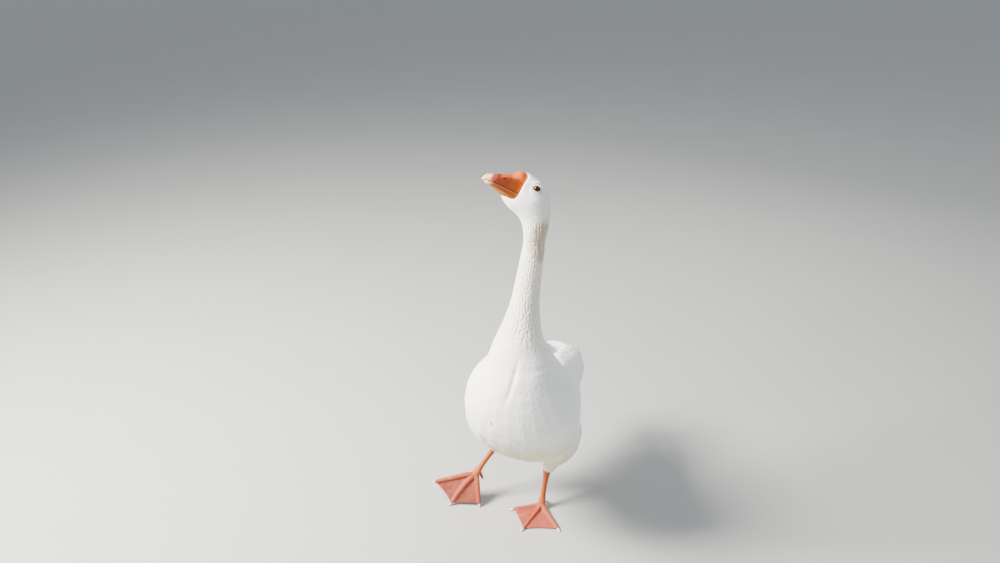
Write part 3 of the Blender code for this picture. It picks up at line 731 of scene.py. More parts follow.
def wing_surface(side):
    """The outer side of a folded wing and of the flight feathers past it: a function that
    gives places and outward normals from y and from how far down from the upper edge."""
    wing, tips = NODES["wing_" + side].data, NODES["primaries_" + side].data
    end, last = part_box("wing_" + side)[1].y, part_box("primaries_" + side)[1].y
    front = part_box("wing_" + side)[0].y
    levels = [(wing, y) for y in np.linspace(front + 0.014, end - 0.008, 11)]
    levels += [(tips, y) for y in np.linspace(end + 0.012, last - 0.006, 4)]
    rows = []
    for mesh, y in levels:
        ring = cross_section(mesh, y)[:, [0, 2]]
        top, low = ring[ring[:, 1].argmax()], ring[ring[:, 1].argmin()]
        out = unit([top[1] - low[1], low[0] - top[0]]) * SIDES[side]
        rows.append([*top, *low, ((ring - top) @ out).max()])
    rows = np.array(rows)
    for _ in range(3):
        rows[1:-1] = (rows[:-2] + 2 * rows[1:-1] + rows[2:]) / 4
    at = np.array([y for _, y in levels])

    def place(y, down):
        top_x, top_z, low_x, low_z, bulge = (np.interp(y, at, rows[:, k]) for k in range(5))
        x, z = top_x + (low_x - top_x) * down, top_z + (low_z - top_z) * down
        out = unit(np.stack([top_z - low_z, 0 * y, low_x - top_x], -1)) * SIDES[side]
        chord = np.hypot(top_z - low_z, low_x - top_x)
        lean = (np.pi * bulge / chord * np.cos(np.pi * down))[..., None]
        along = unit(np.stack([low_x - top_x, 0 * y, low_z - top_z], -1))
        swell = (bulge * np.sin(np.pi * down))[..., None]
        return np.stack([x, y, z], -1) + out * swell, unit(out - along * lean)

    return place, front, last


EDGE_OVERHANG = 0.0025  # how far a feather of the wing may reach past the wing's edges
BEFORE_TIPS = 0.012  # where the wing's feathers end, before the tips of the flight feathers


def kept_on(place, y, down, wide):
    """The feathers' middles and widths, held so that they stay within the wing's edges."""
    chord = np.linalg.norm(place(y, 0 * y)[0] - place(y, 0 * y + 1)[0], axis=-1)
    wide = np.minimum(wide, 0.95 * chord)
    margin = np.clip((wide / 2 - EDGE_OVERHANG) / chord, 0, 0.5)
    return np.clip(down, margin, 1 - margin), wide


def build_wing(side, look):
    """Rows of coverts and, over the flight feathers, long rounded tertials."""
    place, front, last = wing_surface(side)
    sets = []
    for k, (start, count, long, wide) in enumerate(WING_ROWS):
        down = (np.arange(count) + 0.28 + 0.44 * (k % 2)) / count
        down = down + 0.012 * rng.standard_normal(count)
        long = long * varied(count, 0.05)
        root = front + start + WING_SLANT * (0.5 - down)
        long = np.minimum(long, last - BEFORE_TIPS - root - 0.004 * (np.arange(count) % 3))
        y = root[:, None] + long[:, None] * ALONG
        sway = 0.010 * rng.standard_normal(count)[:, None] * ALONG
        down = 0.5 + (down[:, None] - 0.5) * (1 - 0.06 * ALONG) + sway
        middle, broad = kept_on(place, y, down, wide)
        at, out = place(y, middle)
        height = WING_LIFT * (0.4 + 6 * long[:, None]) * (-0.45 + 1.45 * ALONG ** 0.8)
        height = height + 0.0006 * rng.standard_normal(count)[:, None] * ALONG ** 2
        sets.append(blades(at + out * height[..., None], out, broad, 0.66, 0.16, 0.8))
    coat("wing_feathers_" + side, sets, look, 0.25)


PRIMARIES = 7
PRIMARY_WIDE = 0.021


def build_primaries(side, look):
    """The tips of the flight feathers, stacked, the longest undermost and furthest back."""
    place, _, _ = wing_surface(side)
    front, back = (corner.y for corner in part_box("primaries_" + side))
    share = np.arange(PRIMARIES)[:, None] / (PRIMARIES - 1)
    y = front + (back - front - 0.002) * (1 - 0.52 * share) * ALONG
    at, out = place(y, 0.66 - 0.34 * share + 0 * ALONG)
    lines = at + out * (0.0012 + 0.0010 * share * (PRIMARIES - 1) * ALONG)[..., None]
    vanes = blades(lines, out, PRIMARY_WIDE, 0.18, 0.10)
    coat("primary_feathers_" + side, [vanes], look, 0.1, "primaries_" + side)


TAIL_FEATHERS = 14
TAIL_SPREAD = math.radians(26.0)
TAIL_ARCH, TAIL_WIDE = 0.014, 0.030
# Layers of the tail, the upper, the coverts, the under and the vent: where they begin before
# the tail's root, their share of its length and of its feathers' width, their height over it.
TAIL_LAYERS = [(0.018, 1.0, 1.0, 0.0012), (0.045, 0.592, 0.9, 0.0052),
               (0.020, 0.64, 0.9, -0.0028), (0.050, 0.64, 0.9, -0.0072)]


def principal(co):
    """The mean of some points and their axes, longest first."""
    middle = co.mean(0)
    return middle, np.linalg.svd(co - middle, full_matrices=False)[2]


def tail_frame():
    """Where the tail shows from, its length, and the ways back, left and up in it."""
    co = points_of(NODES["tail"].data)
    middle, axes = principal(co)
    back, up = axes[0] if abs(axes[0][1]) > abs(axes[1][1]) else axes[1], axes[2]
    back, up = back * np.sign(back[1]), up * np.sign(up[2])
    root = middle + back * ((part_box("trunk")[1].y - middle[1]) / back[1])
    return root, ((co - root) @ back).max(), back, np.cross(up, back), up


def build_tail(look):
    """The fan of the tail, its middle feathers uppermost, and the coverts over its roots."""
    root, long, back, left, up = tail_frame()
    a = np.linspace(-1, 1, TAIL_FEATHERS)
    a = a[np.argsort(-np.abs(a))][:, None, None]
    s = ALONG[:, None]
    ahead = back * np.cos(a * TAIL_SPREAD) + left * np.sin(a * TAIL_SPREAD)
    arch = TAIL_ARCH * a * a * s - 0.005 * (1 - a * a) * s
    sets = []
    for before, share, broad, lift in TAIL_LAYERS:
        size = (before + long * share) * (1 - 0.13 * a * a)
        line = root - back * before + left * (0.020 * a) + ahead * size * s
        layer = 0.0020 * (1 - np.abs(a)) * np.sign(lift)
        line = line + up * (lift * (0.35 + 0.65 * s) + layer - arch)
        normals = np.broadcast_to((up + left * a * 0.20) * np.sign(lift), line.shape)
        sets.append(blades(line, normals, TAIL_WIDE * broad, 0.72, 0.10, 0.75))
    coat("tail_feathers", sets, look, 0.1, "tail")


# ---------------------------------------------------------------- materials
class Shader:
    """A material's nodes, with short ways to add and join them, and the colour so far."""

    def __init__(self, name, roughness, tint=None, **fixed):
        self.material = bpy.data.materials.new(name)
        self.material.use_nodes = True
        self.nodes = self.material.node_tree.nodes
        self.links = self.material.node_tree.links
        self.base = self.nodes["Principled BSDF"]
        self.tint = tint
        for key, value in {"Roughness": roughness, **fixed}.items():
            self.base.inputs[key.replace("_", " ")].default_value = value

    def put(self, socket, value):
        """Joins a socket to an input, or sets the input to a value."""
        if isinstance(value, bpy.types.NodeSocket):
            self.links.new(value, socket)
        elif socket.type == "RGBA":
            socket.default_value = (*value, 1.0)
        else:
            socket.default_value = value

    def add(self, kind, inputs, **settings):
        node = self.nodes.new("ShaderNode" + kind)
        for key, value in settings.items():
            setattr(node, key, value)
        for key, value in inputs.items():
            self.put(node.inputs[key], value)
        return node

    def at(self):
        """The place on the object, in metres."""
        return self.add("TexCoord", {}).outputs["Object"]

    def number(self, name):
        return self.add("Attribute", {}, attribute_name=name).outputs["Fac"]

    def parts(self, vector):
        return self.add("SeparateXYZ", {0: vector}).outputs

    def vector(self, kind, *values):
        return self.add("VectorMath", dict(enumerate(values)), operation=kind).outputs

    def from_place(self, place):
        return self.vector("DISTANCE", self.at(), place)[1]

    def math(self, kind, *values, clamp=False):
        values = dict(enumerate(values))
        return self.add("Math", values, operation=kind, use_clamp=clamp).outputs[0]

    def times(self, first, second, clamp=False):
        return self.math("MULTIPLY", first, second, clamp=clamp)

    def plus(self, first, second):
        return self.math("ADD", first, second)

    def line(self, value, slope, start):
        return self.math("MULTIPLY_ADD", value, slope, start)

    def between(self, value, low, high):
        """0 below low and 1 above high, or the other way round."""
        return self.add("MapRange", {"Value": value, "From Min": low, "From Max": high},
                        interpolation_type="SMOOTHSTEP").outputs[0]

    def noise(self, scale, detail=3.0, stretch=(1, 1, 1)):
        place = self.add("Mapping", {"Vector": self.at(), "Scale": stretch}).outputs[0]
        return self.add("TexNoise", {"Vector": place, "Scale": scale,
                                     "Detail": detail}).outputs["Fac"]

    def mix(self, share, first, second):
        return self.add("Mix", {0: share, 6: first, 7: second}, data_type="RGBA").outputs[2]

    def paint(self, share, colour):
        """Lays a colour over the colour so far, as thick as the share."""
        self.tint = self.mix(share, self.tint, colour)

    def ramp(self, value, stops):
        node = self.add("ValToRGB", {"Fac": value})
        line = node.color_ramp
        while len(line.elements) < len(stops):
            line.elements.new(0.5)
        for element, (at, colour) in zip(line.elements, stops):
            element.position, element.color = at, (*colour, 1.0)
        return node.outputs[0]

    def bump(self, height, distance, strength=1.0):
        node = self.add("Bump", {"Height": height, "Distance": distance, "Strength": strength})
        self.links.new(node.outputs[0], self.base.inputs["Normal"])

    def done(self):
        """The finished material, in the colour so far."""
        self.links.new(self.tint, self.base.inputs["Base Color"])
        return self.material


WHITE, CREAM, OLIVE_STAIN_AND_BOUNCE = (0.90, 0.895, 0.875), (0.84, 0.76, 0.58), (0.66, 0.57, 0.32)
TAN_STAIN_AND_SHADE, GULLY_SHADE = (0.34, 0.235, 0.125), (0.74, 0.64, 0.46)
# Of the tan patch on the nape, partly staining and partly painted shade: the heights of its two
# ends and its place beside the neck's middle.
STAIN_AND_SHADE_ENDS = (HEAD_END + 0.030, HEAD_END - 0.029)
STAIN_AND_SHADE_ASIDE = (0.0200, -0.0075)  # from the neck's middle, on the left of the nape
FLECK_AT = (0.0205, -0.2295, 0.3525)  # a small red fleck on the breast
FLECK_SIZE, FLECK_RED = (0.0021, 0.0200, 0.0060), (0.28, 0.07, 0.05)
# Small dark spots by the left corner of the mouth: place and reach.
GAPE_SPOTS = [((0.0335, -0.0990, 0.7975), 0.0034), ((0.0305, -0.1000, 0.7925), 0.0026),
              ((0.0368, -0.0975, 0.7998), 0.0024)]
GAPE_DARK = (0.10, 0.08, 0.07)
NECK_FROM, NECK_TO = (0.44, 0.60), (0.775, 0.745)  # heights over which the cream comes and goes
# Of the olive under the body, partly yellowish staining and partly painted light bounced up from
# below: the heights over which it fades in, and the upward part of the normal over which faces turn
# down.
BELLY_BELOW = (0.34, 0.26)
FACES_DOWN = (0.10, -0.60)


def mark(look, height):
    """The markings: cream on the neck, olive on the underside that is partly yellowish staining and
    partly painted light bounced up from below, a tan patch on the nape that is partly staining and
    partly painted shade, a red fleck and dark spots. Gives how much of the neck there is."""
    streaks = look.noise(1.0, 4.0, (210, 210, 26))
    neck = look.times(look.between(height, *NECK_FROM), look.between(height, *NECK_TO))
    look.paint(look.times(neck, look.line(streaks, 1.3, 0.0), clamp=True), CREAM)
    # Olive on the faces that turn down, low on the body: partly yellowish staining, partly painted
    # light bounced up from below.
    facing = look.parts(look.add("NewGeometry", {}).outputs["Normal"])[2]
    belly_stain_and_bounce = look.times(look.between(facing, *FACES_DOWN), look.between(height, *BELLY_BELOW))
    patches = look.line(look.noise(22.0, 2.0), 0.8, 0.35)
    look.paint(look.times(belly_stain_and_bounce, patches, clamp=True), OLIVE_STAIN_AND_BOUNCE)
    # A tan patch on the left of the nape, partly staining and partly painted shade.
    ends = [(*(a + b for a, b in zip(neck_middle(z), STAIN_AND_SHADE_ASIDE)), z) for z in STAIN_AND_SHADE_ENDS]
    away = look.plus(*(look.from_place(end) for end in ends))
    stain_and_shade = look.times(look.between(away, 0.098, 0.066), look.line(streaks, 1.6, -0.15), clamp=True)
    look.paint(look.times(stain_and_shade, 0.85), TAN_STAIN_AND_SHADE)
    off = look.vector("DIVIDE", look.vector("SUBTRACT", look.at(), FLECK_AT)[0], FLECK_SIZE)[0]
    look.paint(look.between(look.vector("LENGTH", off)[1], 1.0, 0.6), FLECK_RED)
    for spot, size in GAPE_SPOTS:
        dark = look.between(look.from_place(spot), size, 0.4 * size)
        look.paint(look.times(dark, 0.8), GAPE_DARK)
    return neck


def draw_vane(look, neck):
    """A vane's own tone, the painted shade in the grooves between the files of the neck, its barbs
    and its shaft.
    """
    tone = look.line(look.number("tone"), 0.06, 0.95)
    look.tint = look.add("VectorMath", {0: look.tint, "Scale": tone}, operation="SCALE").outputs[0]
    across, along, _ = look.parts(look.add("UVMap", {}, uv_map="vane").outputs[0])
    middle = look.math("ABSOLUTE", look.math("SUBTRACT", across, 0.5))
    # Painted shade: each neck vane darker towards its sides, in the grooves between the files,
    # fading before its tip.
    gully_shade = look.times(look.between(middle, 0.22, 0.48), neck)
    gully_shade = look.times(gully_shade, look.between(along, 0.85, 0.55))
    look.paint(look.times(gully_shade, 0.50), GULLY_SHADE)
    barbs = look.math("SINE", look.plus(look.times(along, 150.0), look.times(middle, -95.0)))
    shaft = look.between(middle, 0.035, 0.0)
    look.bump(look.line(shaft, 1.5, barbs), 0.00006, 0.5)


def plumage(name, vane):
    """White feathers with their markings, part of them painted light and shade. The skin and the
    coat wear the same ones; a vane also has its barbs, its own tone and, on the neck, painted shade
    between the files."""
    look = Shader(name, 0.82, WHITE, Sheen_Weight=0.25, Sheen_Roughness=0.5,
                  Specular_IOR_Level=0.25)
    neck = mark(look, look.parts(look.at())[2])
    if vane:
        draw_vane(look, neck)
    return look.done()


# ---------------------------------------------------------------- the coat
HOCKS_BETWEEN = (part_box("shank_right")[1].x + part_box("shank_left")[0].x) / 2
THIGH_ENDS = {side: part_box("thigh_" + side)[0].z + 0.016 for side in SIDES}
CUFF_DOWN, CUFF_UP = 0.004, 0.020  # where its roots are, from the end of the thigh
CUFF_LONG, CUFF_WIDE, CUFF_DEPTH = 0.021, 0.0110, 0.0016


def to_furrows(roots):
    """Roots moved sideways so that they stand in files down the neck."""
    x, y = neck_middle(roots[:, 2])
    dx, dy = roots[:, 0] - x, roots[:, 1] - y
    wander = 0.9 * noise_at(roots, (9, 9, 16))
    phase = np.arctan2(dx, -dy) * FURROWS / (2 * math.pi) + wander
    off = (phase - np.round(phase)) * 2 * math.pi / FURROWS
    off = off + 0.035 * rng.standard_normal(len(roots))
    held = ease(roots[:, 2], HEAD_END + 0.060, HEAD_END + 0.040) * ease(roots[:, 2], 0.46, 0.52)
    cos, sin = np.cos(off * held), np.sin(off * held)
    return np.stack([x + dx * cos + dy * sin, y - dx * sin + dy * cos, roots[:, 2]], 1)


def before_wing_ends(middles):
    """Not over the blunt ends of the wings, which longer feathers cover."""
    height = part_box("wing_left")[0].z + 0.02
    return (middles[:, 1] < WINGS_END) | (middles[:, 2] < height)


def over_thigh_end(middles):
    """The height of each place above the end of the thigh on its side."""
    left = middles[:, 0] > HOCKS_BETWEEN
    return middles[:, 2] - np.where(left, THIGH_ENDS["left"], THIGH_ENDS["right"])


def above_hocks(middles):
    return over_thigh_end(middles) > 0


def clothe(skin, look, name, names, rows, columns, soften, keep=None, shift=None, **shape):
    """One piece of the coat, over some of the regions."""
    roots, kind = scattered(skin, names, keep)
    if shift:
        roots = shift(roots)
    vanes = lay(skin, roots, kind.long, kind.wide, kind.depth, rows, columns, **shape)
    coat(name, [vanes], look, soften)


def build_cuff(skin, side, look):
    """Feathers from the end of a thigh down over its hock, free of the skin at their tips."""
    def near_end(middles):
        up = over_thigh_end(middles)
        left = middles[:, 0] > HOCKS_BETWEEN
        return (up > -CUFF_DOWN) & (up < CUFF_UP) & (left == (side == "left"))

    roots, _ = scattered(skin, ["leg"], near_end)
    vanes = lay(skin, roots, CUFF_LONG, CUFF_WIDE, CUFF_DEPTH, 8, 5, blunt=0.50, lift=0.10,
                follow=0.05, stiff=0.75, camber=0.3)
    coat("cuff_" + side, [vanes], look, 0.5)


def build_plumage():
    obj, skin = build_skin()
    look = plumage("plumage", True)
    shown(obj, plumage("skin", False), "plumage", *FLESH)
    clothe(skin, look, "coat_head", ["face"], 4, 3, 0.80, camber=0.1, lift=0.03, droop=0.80)
    clothe(skin, look, "coat_neck", ["neck"], 5, 5, 0.25, shift=to_furrows, camber=0.48,
           yaw=0.03, lift=0.05, ragged=0.03, droop=0.60)
    clothe(skin, look, "coat_breast", ["breast"], 7, 5, 0.86, camber=0.35, yaw=0.05, lift=0.05,
           ragged=0.08, droop=0.60)
    clothe(skin, look, "coat_body", ["body", "wing"], 8, 7, 0.80, keep=before_wing_ends,
           camber=0.35, yaw=0.05, lift=0.05, droop=0.60)
    clothe(skin, look, "coat_legs", ["leg"], 6, 5, 0.75, keep=above_hocks, camber=0.3,
           lift=0.03, droop=0.75)
    for side in SIDES:
        build_wing(side, look)
        build_primaries(side, look)
        build_cuff(skin, side, look)
    build_tail(look)


# ---------------------------------------------------------------- bill
BILL_LONG = 0.08  # the length that its ramps of colour run over
DEEP, PINK = (0.088, 0.0145, 0.003), (0.19, 0.028, 0.032)
MOUTH_DARK, HORN = (0.030, 0.010, 0.006), (0.80, 0.42, 0.235)
# The culmen's colour is a painted highlight along the top of the bill.
KNOB, CULMEN_HIGHLIGHT, GOLD = (0.47, 0.090, 0.0), (0.36, 0.060, 0.001), (0.36, 0.098, 0.0)
# The nostrils' dark colour is painted shade inside them.
RIM, NOSTRIL_SHADE, BILL_SPOTS = (0.22, 0.07, 0.03), (0.035, 0.012, 0.008), (0.14, 0.04, 0.012)
UPPER_STOPS = [(0.0, (0.26, 0.042, 0.0)), (0.10, (0.14, 0.023, 0.001)), (0.34, DEEP),
               (0.66, (0.11, 0.018, 0.006)), (0.735, (0.36, 0.11, 0.06)), (0.79, HORN)]
LOWER_STOPS = [(0.0, (0.20, 0.034, 0.001)), (0.30, (0.095, 0.026, 0.007)),
               (0.64, (0.13, 0.040, 0.013)), (0.79, HORN)]


def bill_base(name, stops):
    """A shader with the bill's long ramp of colour, and how far along and above the mouth."""
    look = Shader(name, 0.50, Specular_IOR_Level=0.12)
    wobble = look.line(look.noise(90.0), 0.012, -0.006)
    along = look.plus(look.number("along"), wobble)
    look.tint = look.ramp(look.times(along, 1 / BILL_LONG), stops)
    return look, along, look.number("above")


def spotted(look):
    """The finished material of the bill, with small darker spots."""
    spots = look.between(look.noise(420.0, 2.0), 0.60, 0.75)
    look.paint(look.times(spots, 0.30), BILL_SPOTS)
    return look.done()


def lower_bill_look():
    """Gold underneath, with a ticked rim along the mouth."""
    look, along, above = bill_base("bill_under", LOWER_STOPS)
    below = look.math("SUBTRACT", above, look.line(along, 0.10, -0.0125))
    under = look.between(below, 0.0022, -0.0012)
    look.paint(look.times(under, look.between(along, 0.062, 0.050)), GOLD)
    rim = look.between(above, -0.0034, -0.0022)
    look.paint(look.times(rim, 0.55), RIM)
    ticks = look.math("SINE", look.times(look.number("along"), 4200.0))
    look.bump(look.times(ticks, rim), 0.00008, 0.4)
    return spotted(look)


def upper_bill_look():
    """Deep orange, brighter on the knob, with a painted highlight along the top of the culmen, a
    pink blush before the nail, a dark line along the mouth and nostrils painted dark as the shade
    inside them."""
    look, along, above = bill_base("bill", UPPER_STOPS)
    crest = look.plus(above, look.times(along, 0.36))
    # Painted highlight: lighter along the top of the bill near its base.
    ridge_highlight = look.times(look.between(crest, 0.0275, 0.0335), look.between(along, 0.050, 0.042))
    look.paint(look.times(ridge_highlight, 0.8), CULMEN_HIGHLIGHT)
    front = look.times(look.between(along, 0.0490, 0.0525), look.between(along, 0.0610, 0.0580))
    look.paint(look.times(front, look.between(crest, 0.0215, 0.0260)), PINK)
    line = look.times(look.between(above, 0.0020, 0.0004), look.between(along, 0.072, 0.030))
    look.paint(look.times(line, 0.8), MOUTH_DARK)
    look.paint(look.between(look.plus(above, look.times(along, -0.55)), 0.018, 0.026), KNOB)
    # Painted shade: the nostrils darkened as the shade inside them.
    look.paint(look.between(look.number("nostril"), 0.35, 0.75), NOSTRIL_SHADE)
    folds = look.times(look.noise(260.0, 2.0), 2.0)
    look.bump(look.plus(folds, look.noise(900.0)), 0.00022, 0.5)
    return spotted(look)


def horn_look(name, colour):
    look = Shader(name, 0.32, Specular_IOR_Level=0.5, Subsurface_Weight=0.15,
                  Subsurface_Radius=(0.004, 0.002, 0.001))
    look.tint = look.mix(look.noise(240.0), colour, tuple(0.80 * c for c in colour))
    look.bump(look.noise(500.0, 3.0, (1, 1, 2)), 0.0001, 0.4)
    return look.done()


BILL_VOXEL, NAIL_VOXEL = 0.0009, 0.0006
NOSTRIL, NOSTRIL_LONG, NOSTRIL_TALL = (0.0335, 0.0158), 0.0040, 0.0011
NOSTRIL_SLANT, NOSTRIL_DEPTH, NOSTRIL_RIM = 0.22, 0.0026, 0.0007
MOUTH_EDGE = 0.0004  # how far the upper bill's edge stands out


def carve_upper(mesh):
    """Softens the crease before the knob and carves the nostrils and the edge of the mouth.
    The materials read the places from attributes."""
    edges, co = edges_of(mesh), points_of(mesh)
    along, side, above = on_bill(co).T
    crease = ease(above + 0.5 * along, 0.020, 0.026) * ease(along, 0.034, 0.022)
    crease = spread(crease, edges, 6)[:, None]
    set_points(mesh, co * (1 - crease) + spread(co, edges, 90) * crease)
    ahead = along - NOSTRIL[0]
    off = ahead / NOSTRIL_LONG
    rise = (above - NOSTRIL[1] + NOSTRIL_SLANT * ahead) / NOSTRIL_TALL
    beside = np.abs(side) > 0.004
    hole = np.exp(-off ** 4 - rise ** 2) * beside
    rim = np.exp(-(off / 1.35) ** 4 - (rise / 2.6) ** 2) * beside
    edge = ease(above, 0.0022, 0.0008) * ease(along, 0.066, 0.05)
    move = NOSTRIL_RIM * rim - NOSTRIL_DEPTH * hole + MOUTH_EDGE * edge
    set_points(mesh, points_of(mesh) + normals_of(mesh) * move[:, None])
    for name, values in (("along", along), ("above", above), ("nostril", hole)):
        attribute(mesh, name, values)


def build_bill():
    upper = fused("bill_top", ["bill_upper", "bill_knob"], BILL_VOXEL, 0.0005, 7)
    carve_upper(upper.data)
    shown(upper, upper_bill_look(), "bill", "bill_upper", "bill_knob")
    under = fused("bill_under", ["bill_lower"], BILL_VOXEL, 0.0002, 4)
    along, _, above = on_bill(points_of(under.data)).T
    attribute(under.data, "along", along)
    attribute(under.data, "above", above)
    shown(under, lower_bill_look(), "bill", "bill_lower")
    nail = fused("nail", ["bill_nail"], NAIL_VOXEL, 0.0002, 5)
    shown(nail, horn_look("nail", HORN), "horn", "bill_nail")


# ---------------------------------------------------------------- eyes
LID_OPEN = math.radians(52.0)
LID_TILT = math.radians(-24.0)  # of the opening's long axis, its back end down
LID_OVAL, LID_CORNERS = math.radians(7.5), math.radians(5.0)
# Rings of a lid: degrees past its opening, height over the eyeball, place on its ramp.
LID_STEPS = [(-1.0, -0.0002, 0.0), (0.0, 0.0003, 0.1), (2.5, 0.0006, 0.25), (7.0, 0.0008, 0.5),
             (13.0, 0.0008, 0.8), (22.0, 0.0006, 1.0), (36.0, 0.0002, 1.0), (54.0, -0.0010, 1.0)]
GAZE_AHEAD, GAZE_UP = 0.33, 0.17
BALL_ANGLES = np.radians(np.linspace(4, 150, 34))
TURNS = np.arange(48) * 2 * math.pi / 48  # round the line of sight
PUPIL, IRIS = (0.004, 0.003, 0.003), (0.070, 0.022, 0.007)


def rings(side, angles, heights, widen=0.0):
    """Rings about the line of sight, each at an angle from it and a height over the eyeball."""
    gaze = unit(HEAD_LEFT * SIDES[side] + HEAD_FORWARD * GAZE_AHEAD + HEAD_UP * GAZE_UP)
    upright = unit(HEAD_UP - gaze * (HEAD_UP @ gaze))
    aside = np.cross(upright, gaze)
    round_gaze = np.cos(TURNS)[:, None] * aside + np.sin(TURNS)[:, None] * upright
    wide = (angles[:, None] + widen + 0 * TURNS)[..., None]
    reach = (EYE_RADIUS + heights)[:, None, None]
    return EYE[side] + reach * (np.cos(wide) * gaze + np.sin(wide) * round_gaze)


def ring_object(name, rows, cap=False):
    count, around = rows.shape[:2]
    points = rows.reshape(-1, 3).tolist()
    faces = [(i * around + j, i * around + (j + 1) % around,
              (i + 1) * around + (j + 1) % around, (i + 1) * around + j)
             for i in range(count - 1) for j in range(around)]
    if cap:
        points.append(rows[0].mean(0).tolist())
        faces += [((j + 1) % around, j, len(points) - 1) for j in range(around)]
    return linked(name, smooth_mesh(name, points, faces))


def eye_look():
    look = Shader("eye", 0.26, Specular_IOR_Level=0.14, Coat_Weight=0.06, Coat_Roughness=0.08)
    gaze = look.plus(look.number("gaze"), look.line(look.noise(700.0, 2.0), 4.0, -2.0))
    look.tint = look.ramp(look.times(gaze, 1 / 90.0),
                          [(0.0, PUPIL), (0.28, PUPIL), (0.34, IRIS),
                           (0.50, (0.050, 0.016, 0.006)), (0.62, (0.010, 0.006, 0.004))])
    return look.done()


def lid_look():
    look = Shader("lid", 0.5, Specular_IOR_Level=0.4)
    look.tint = look.ramp(look.number("margin"),
                          [(0.0, (0.05, 0.020, 0.010)), (0.20, (0.24, 0.12, 0.06)),
                           (0.34, (0.70, 0.64, 0.56)), (0.6, (0.84, 0.83, 0.80)), (1.0, WHITE)])
    look.bump(look.noise(900.0, 2.0), 0.0001, 0.4)
    return look.done()


def build_eyes():
    ball, lids = eye_look(), lid_look()
    past, heights, margin = np.array(LID_STEPS).T
    for side, sign in SIDES.items():
        obj = ring_object("eyeball_" + side, rings(side, BALL_ANGLES, 0 * BALL_ANGLES), cap=True)
        attribute(obj.data, "gaze", [*np.repeat(np.degrees(BALL_ANGLES), len(TURNS)), 0.0])
        shown(obj, ball, "eye", "eye_" + side)
        slant = TURNS - LID_TILT * sign
        widen = LID_OVAL * np.cos(2 * slant) + LID_CORNERS * np.abs(np.cos(slant)) ** 8
        rows = rings(side, LID_OPEN + np.radians(past), heights, widen)
        obj = ring_object("lids_" + side, rows)
        attribute(obj.data, "margin", np.repeat(margin, len(TURNS)))
        shown(obj, lids, "plumage")


# ---------------------------------------------------------------- legs and feet
TARSUS, TOE_SKIN, WEB_SKIN = (0.42, 0.080, 0.006), (0.34, 0.056, 0.016), (0.28, 0.054, 0.030)
# The colours of the webs' folds, of the webs beside the toes and of the creases are painted shade.
WEB_FOLD_SHADE, WEB_SHADE_BY_TOES, LEG_PALE = (0.17, 0.032, 0.020), (0.14, 0.026, 0.015), (0.48, 0.17, 0.08)
CREASE_SHADE, CLAW = (0.20, 0.040, 0.009), (0.86, 0.68, 0.50)
LEG_VOXEL, CLAW_VOXEL = 0.0011, 0.0005
FLOOR_GAP = 0.00005


def leg_look():
    """Orange skin in small scales, with scutes along the toes and folds in the webs, and painted
    shade in the webs' folds, in the webs beside the toes and in the creases between the scales.
    """
    look = Shader("leg", 0.48, TARSUS, Specular_IOR_Level=0.45)
    web, toe = look.number("web"), look.number("toe")
    look.paint(toe, TOE_SKIN)
    look.paint(web, WEB_SKIN)
    # Painted shade: darker streaks in the webs for the shade in their folds.
    dark = look.times(look.between(look.noise(1.0, 4.0, (120, 60, 120)), 0.46, 0.64), 0.65)
    look.paint(look.times(dark, web), WEB_FOLD_SHADE)
    # Painted shade: the webs darker beside the toes, where they meet.
    beside = look.times(look.between(look.number("near_toe"), 0.10, 0.55), web)
    look.paint(look.times(beside, 0.60), WEB_SHADE_BY_TOES)
    look.paint(look.times(look.between(look.noise(70.0), 0.55, 0.72), 0.35), LEG_PALE)
    cells = look.add("TexVoronoi", {"Vector": look.at(), "Scale": 480.0},
                     feature="DISTANCE_TO_EDGE").outputs["Distance"]
    # Painted shade: darker lines in the creases between the scales.
    look.paint(look.times(look.between(cells, 0.10, 0.0), 0.35), CREASE_SHADE)
    waves = look.math("ABSOLUTE", look.math("SINE", look.times(look.number("along"), 1150.0)))
    scutes = look.times(look.times(look.between(waves, 0.0, 0.5), toe),
                        look.math("SUBTRACT", 1.0, web))
    wrinkles = look.times(look.noise(1.0, 5.0, (420, 160, 420)), web)
    scales = look.times(look.between(cells, 0.0, 0.22), look.line(web, -0.6, 0.8))
    look.bump(look.plus(scales, look.plus(scutes, wrinkles)), 0.00035, 0.8)
    return look.done()


def build_leg(side, look):
    nodes = [f"shank_{side}", f"hallux_{side}"] + [f"toe_{toe}_{side}" for toe in TOES]
    nodes += [f"web_{toe}_{side}" for toe in ("inner", "outer")]
    obj = fused("leg_" + side, nodes, LEG_VOXEL, 0.0004, 4)
    mesh = obj.data
    co = points_of(mesh)
    co[:, 2] = np.maximum(co[:, 2], FLOOR_GAP)
    set_points(mesh, co)
    label = nearest_node(nodes, co)
    along = np.zeros(len(co))
    for k, node in enumerate(nodes):
        middle, axes = principal(points_of(NODES[node].data))
        along[label == k] = (co[label == k] - middle) @ axes[0]
    edges = edges_of(mesh)
    web = np.array([node.startswith("web") for node in nodes], float)[label]
    toe = np.array([not node.startswith("shank") for node in nodes], float)[label]
    attribute(mesh, "along", along)
    attribute(mesh, "web", spread(web, edges, 3))
    attribute(mesh, "toe", spread(toe, edges, 8))
    attribute(mesh, "near_toe", spread(1 - web, edges, 14, 0.9))
    shown(obj, look, "skin", *nodes)


def build_feet():
    leg, claw = leg_look(), horn_look("claw", CLAW)
    for side in SIDES:
        build_leg(side, leg)
        for toe in (*TOES, "hallux"):
            node = f"claw_{toe}_{side}"
            shown(fused("horn_" + node, [node], CLAW_VOXEL, 0.0001, 2), claw, "horn", node)


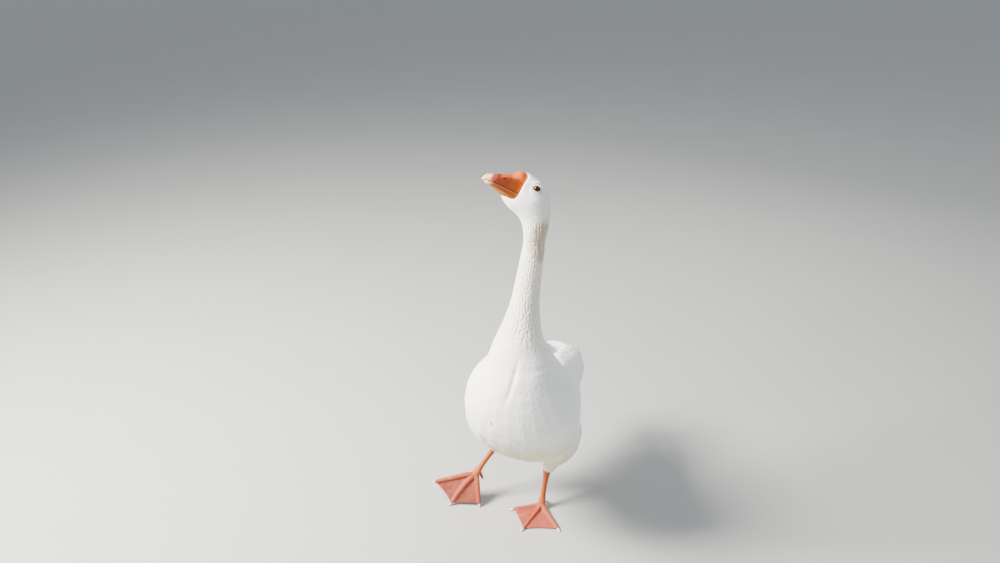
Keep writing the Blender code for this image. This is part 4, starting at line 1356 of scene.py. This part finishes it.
# ---------------------------------------------------------------- stage, light and camera
AZIMUTH, PITCH = math.radians(18.0), math.radians(24.5)
CAMERA_AT = Vector((0.4302, -1.4312, 1.25))
LENS, SENSOR = 27.0, 36.0
FLOOR_HALF, FLOOR_DARK, FLOOR_PALE = 45.0, (0.33, 0.34, 0.33), (0.36, 0.37, 0.36)
SKY, SKY_STRENGTH = (0.86, 0.91, 1.0, 1.0), 0.74
LIT = Vector((0, 0, 0.35))  # what the lights point at
# Name, place, size, power and colour of each light.
LIGHTS = [("key", (-1.7, -0.9, 2.1), 0.9, 480, (1.0, 0.95, 0.87)),
          ("fill", (2.0, -1.8, 1.5), 1.8, 14, (0.9, 0.95, 1.0)),
          ("rim", (0.6, 2.0, 1.8), 1.4, 26, (1.0, 0.98, 0.94))]


def build_stage():
    mesh = bpy.data.meshes.new("floor")
    work = bmesh.new()
    bmesh.ops.create_grid(work, x_segments=1, y_segments=1, size=FLOOR_HALF)
    work.to_mesh(mesh)
    work.free()
    look = Shader("floor", 0.85)
    look.tint = look.mix(look.noise(3.0, 4.0), FLOOR_DARK, FLOOR_PALE)
    mesh.materials.append(look.done())
    linked("floor", mesh)


def build_light():
    world = bpy.data.worlds.new("studio")
    world.use_nodes = True
    sky = world.node_tree.nodes["Background"].inputs
    sky["Color"].default_value, sky["Strength"].default_value = SKY, SKY_STRENGTH
    bpy.context.scene.world = world
    for name, at, size, power, colour in LIGHTS:
        data = bpy.data.lights.new(name, "AREA")
        data.shape, data.size, data.size_y = "RECTANGLE", size, size
        data.energy, data.color = power, colour
        obj = linked(name, data)
        obj.location = at
        obj.rotation_euler = (LIT - Vector(at)).to_track_quat("-Z", "Y").to_euler()


def build_camera():
    data = bpy.data.cameras.new("camera")
    data.lens, data.sensor_width = LENS, SENSOR
    obj = linked("camera", data)
    obj.location = CAMERA_AT
    obj.rotation_euler = (math.pi / 2 - PITCH, 0.0, AZIMUTH)
    bpy.context.scene.camera = obj


build_plumage()
build_bill()
build_eyes()
build_feet()
build_stage()
build_light()
build_camera()
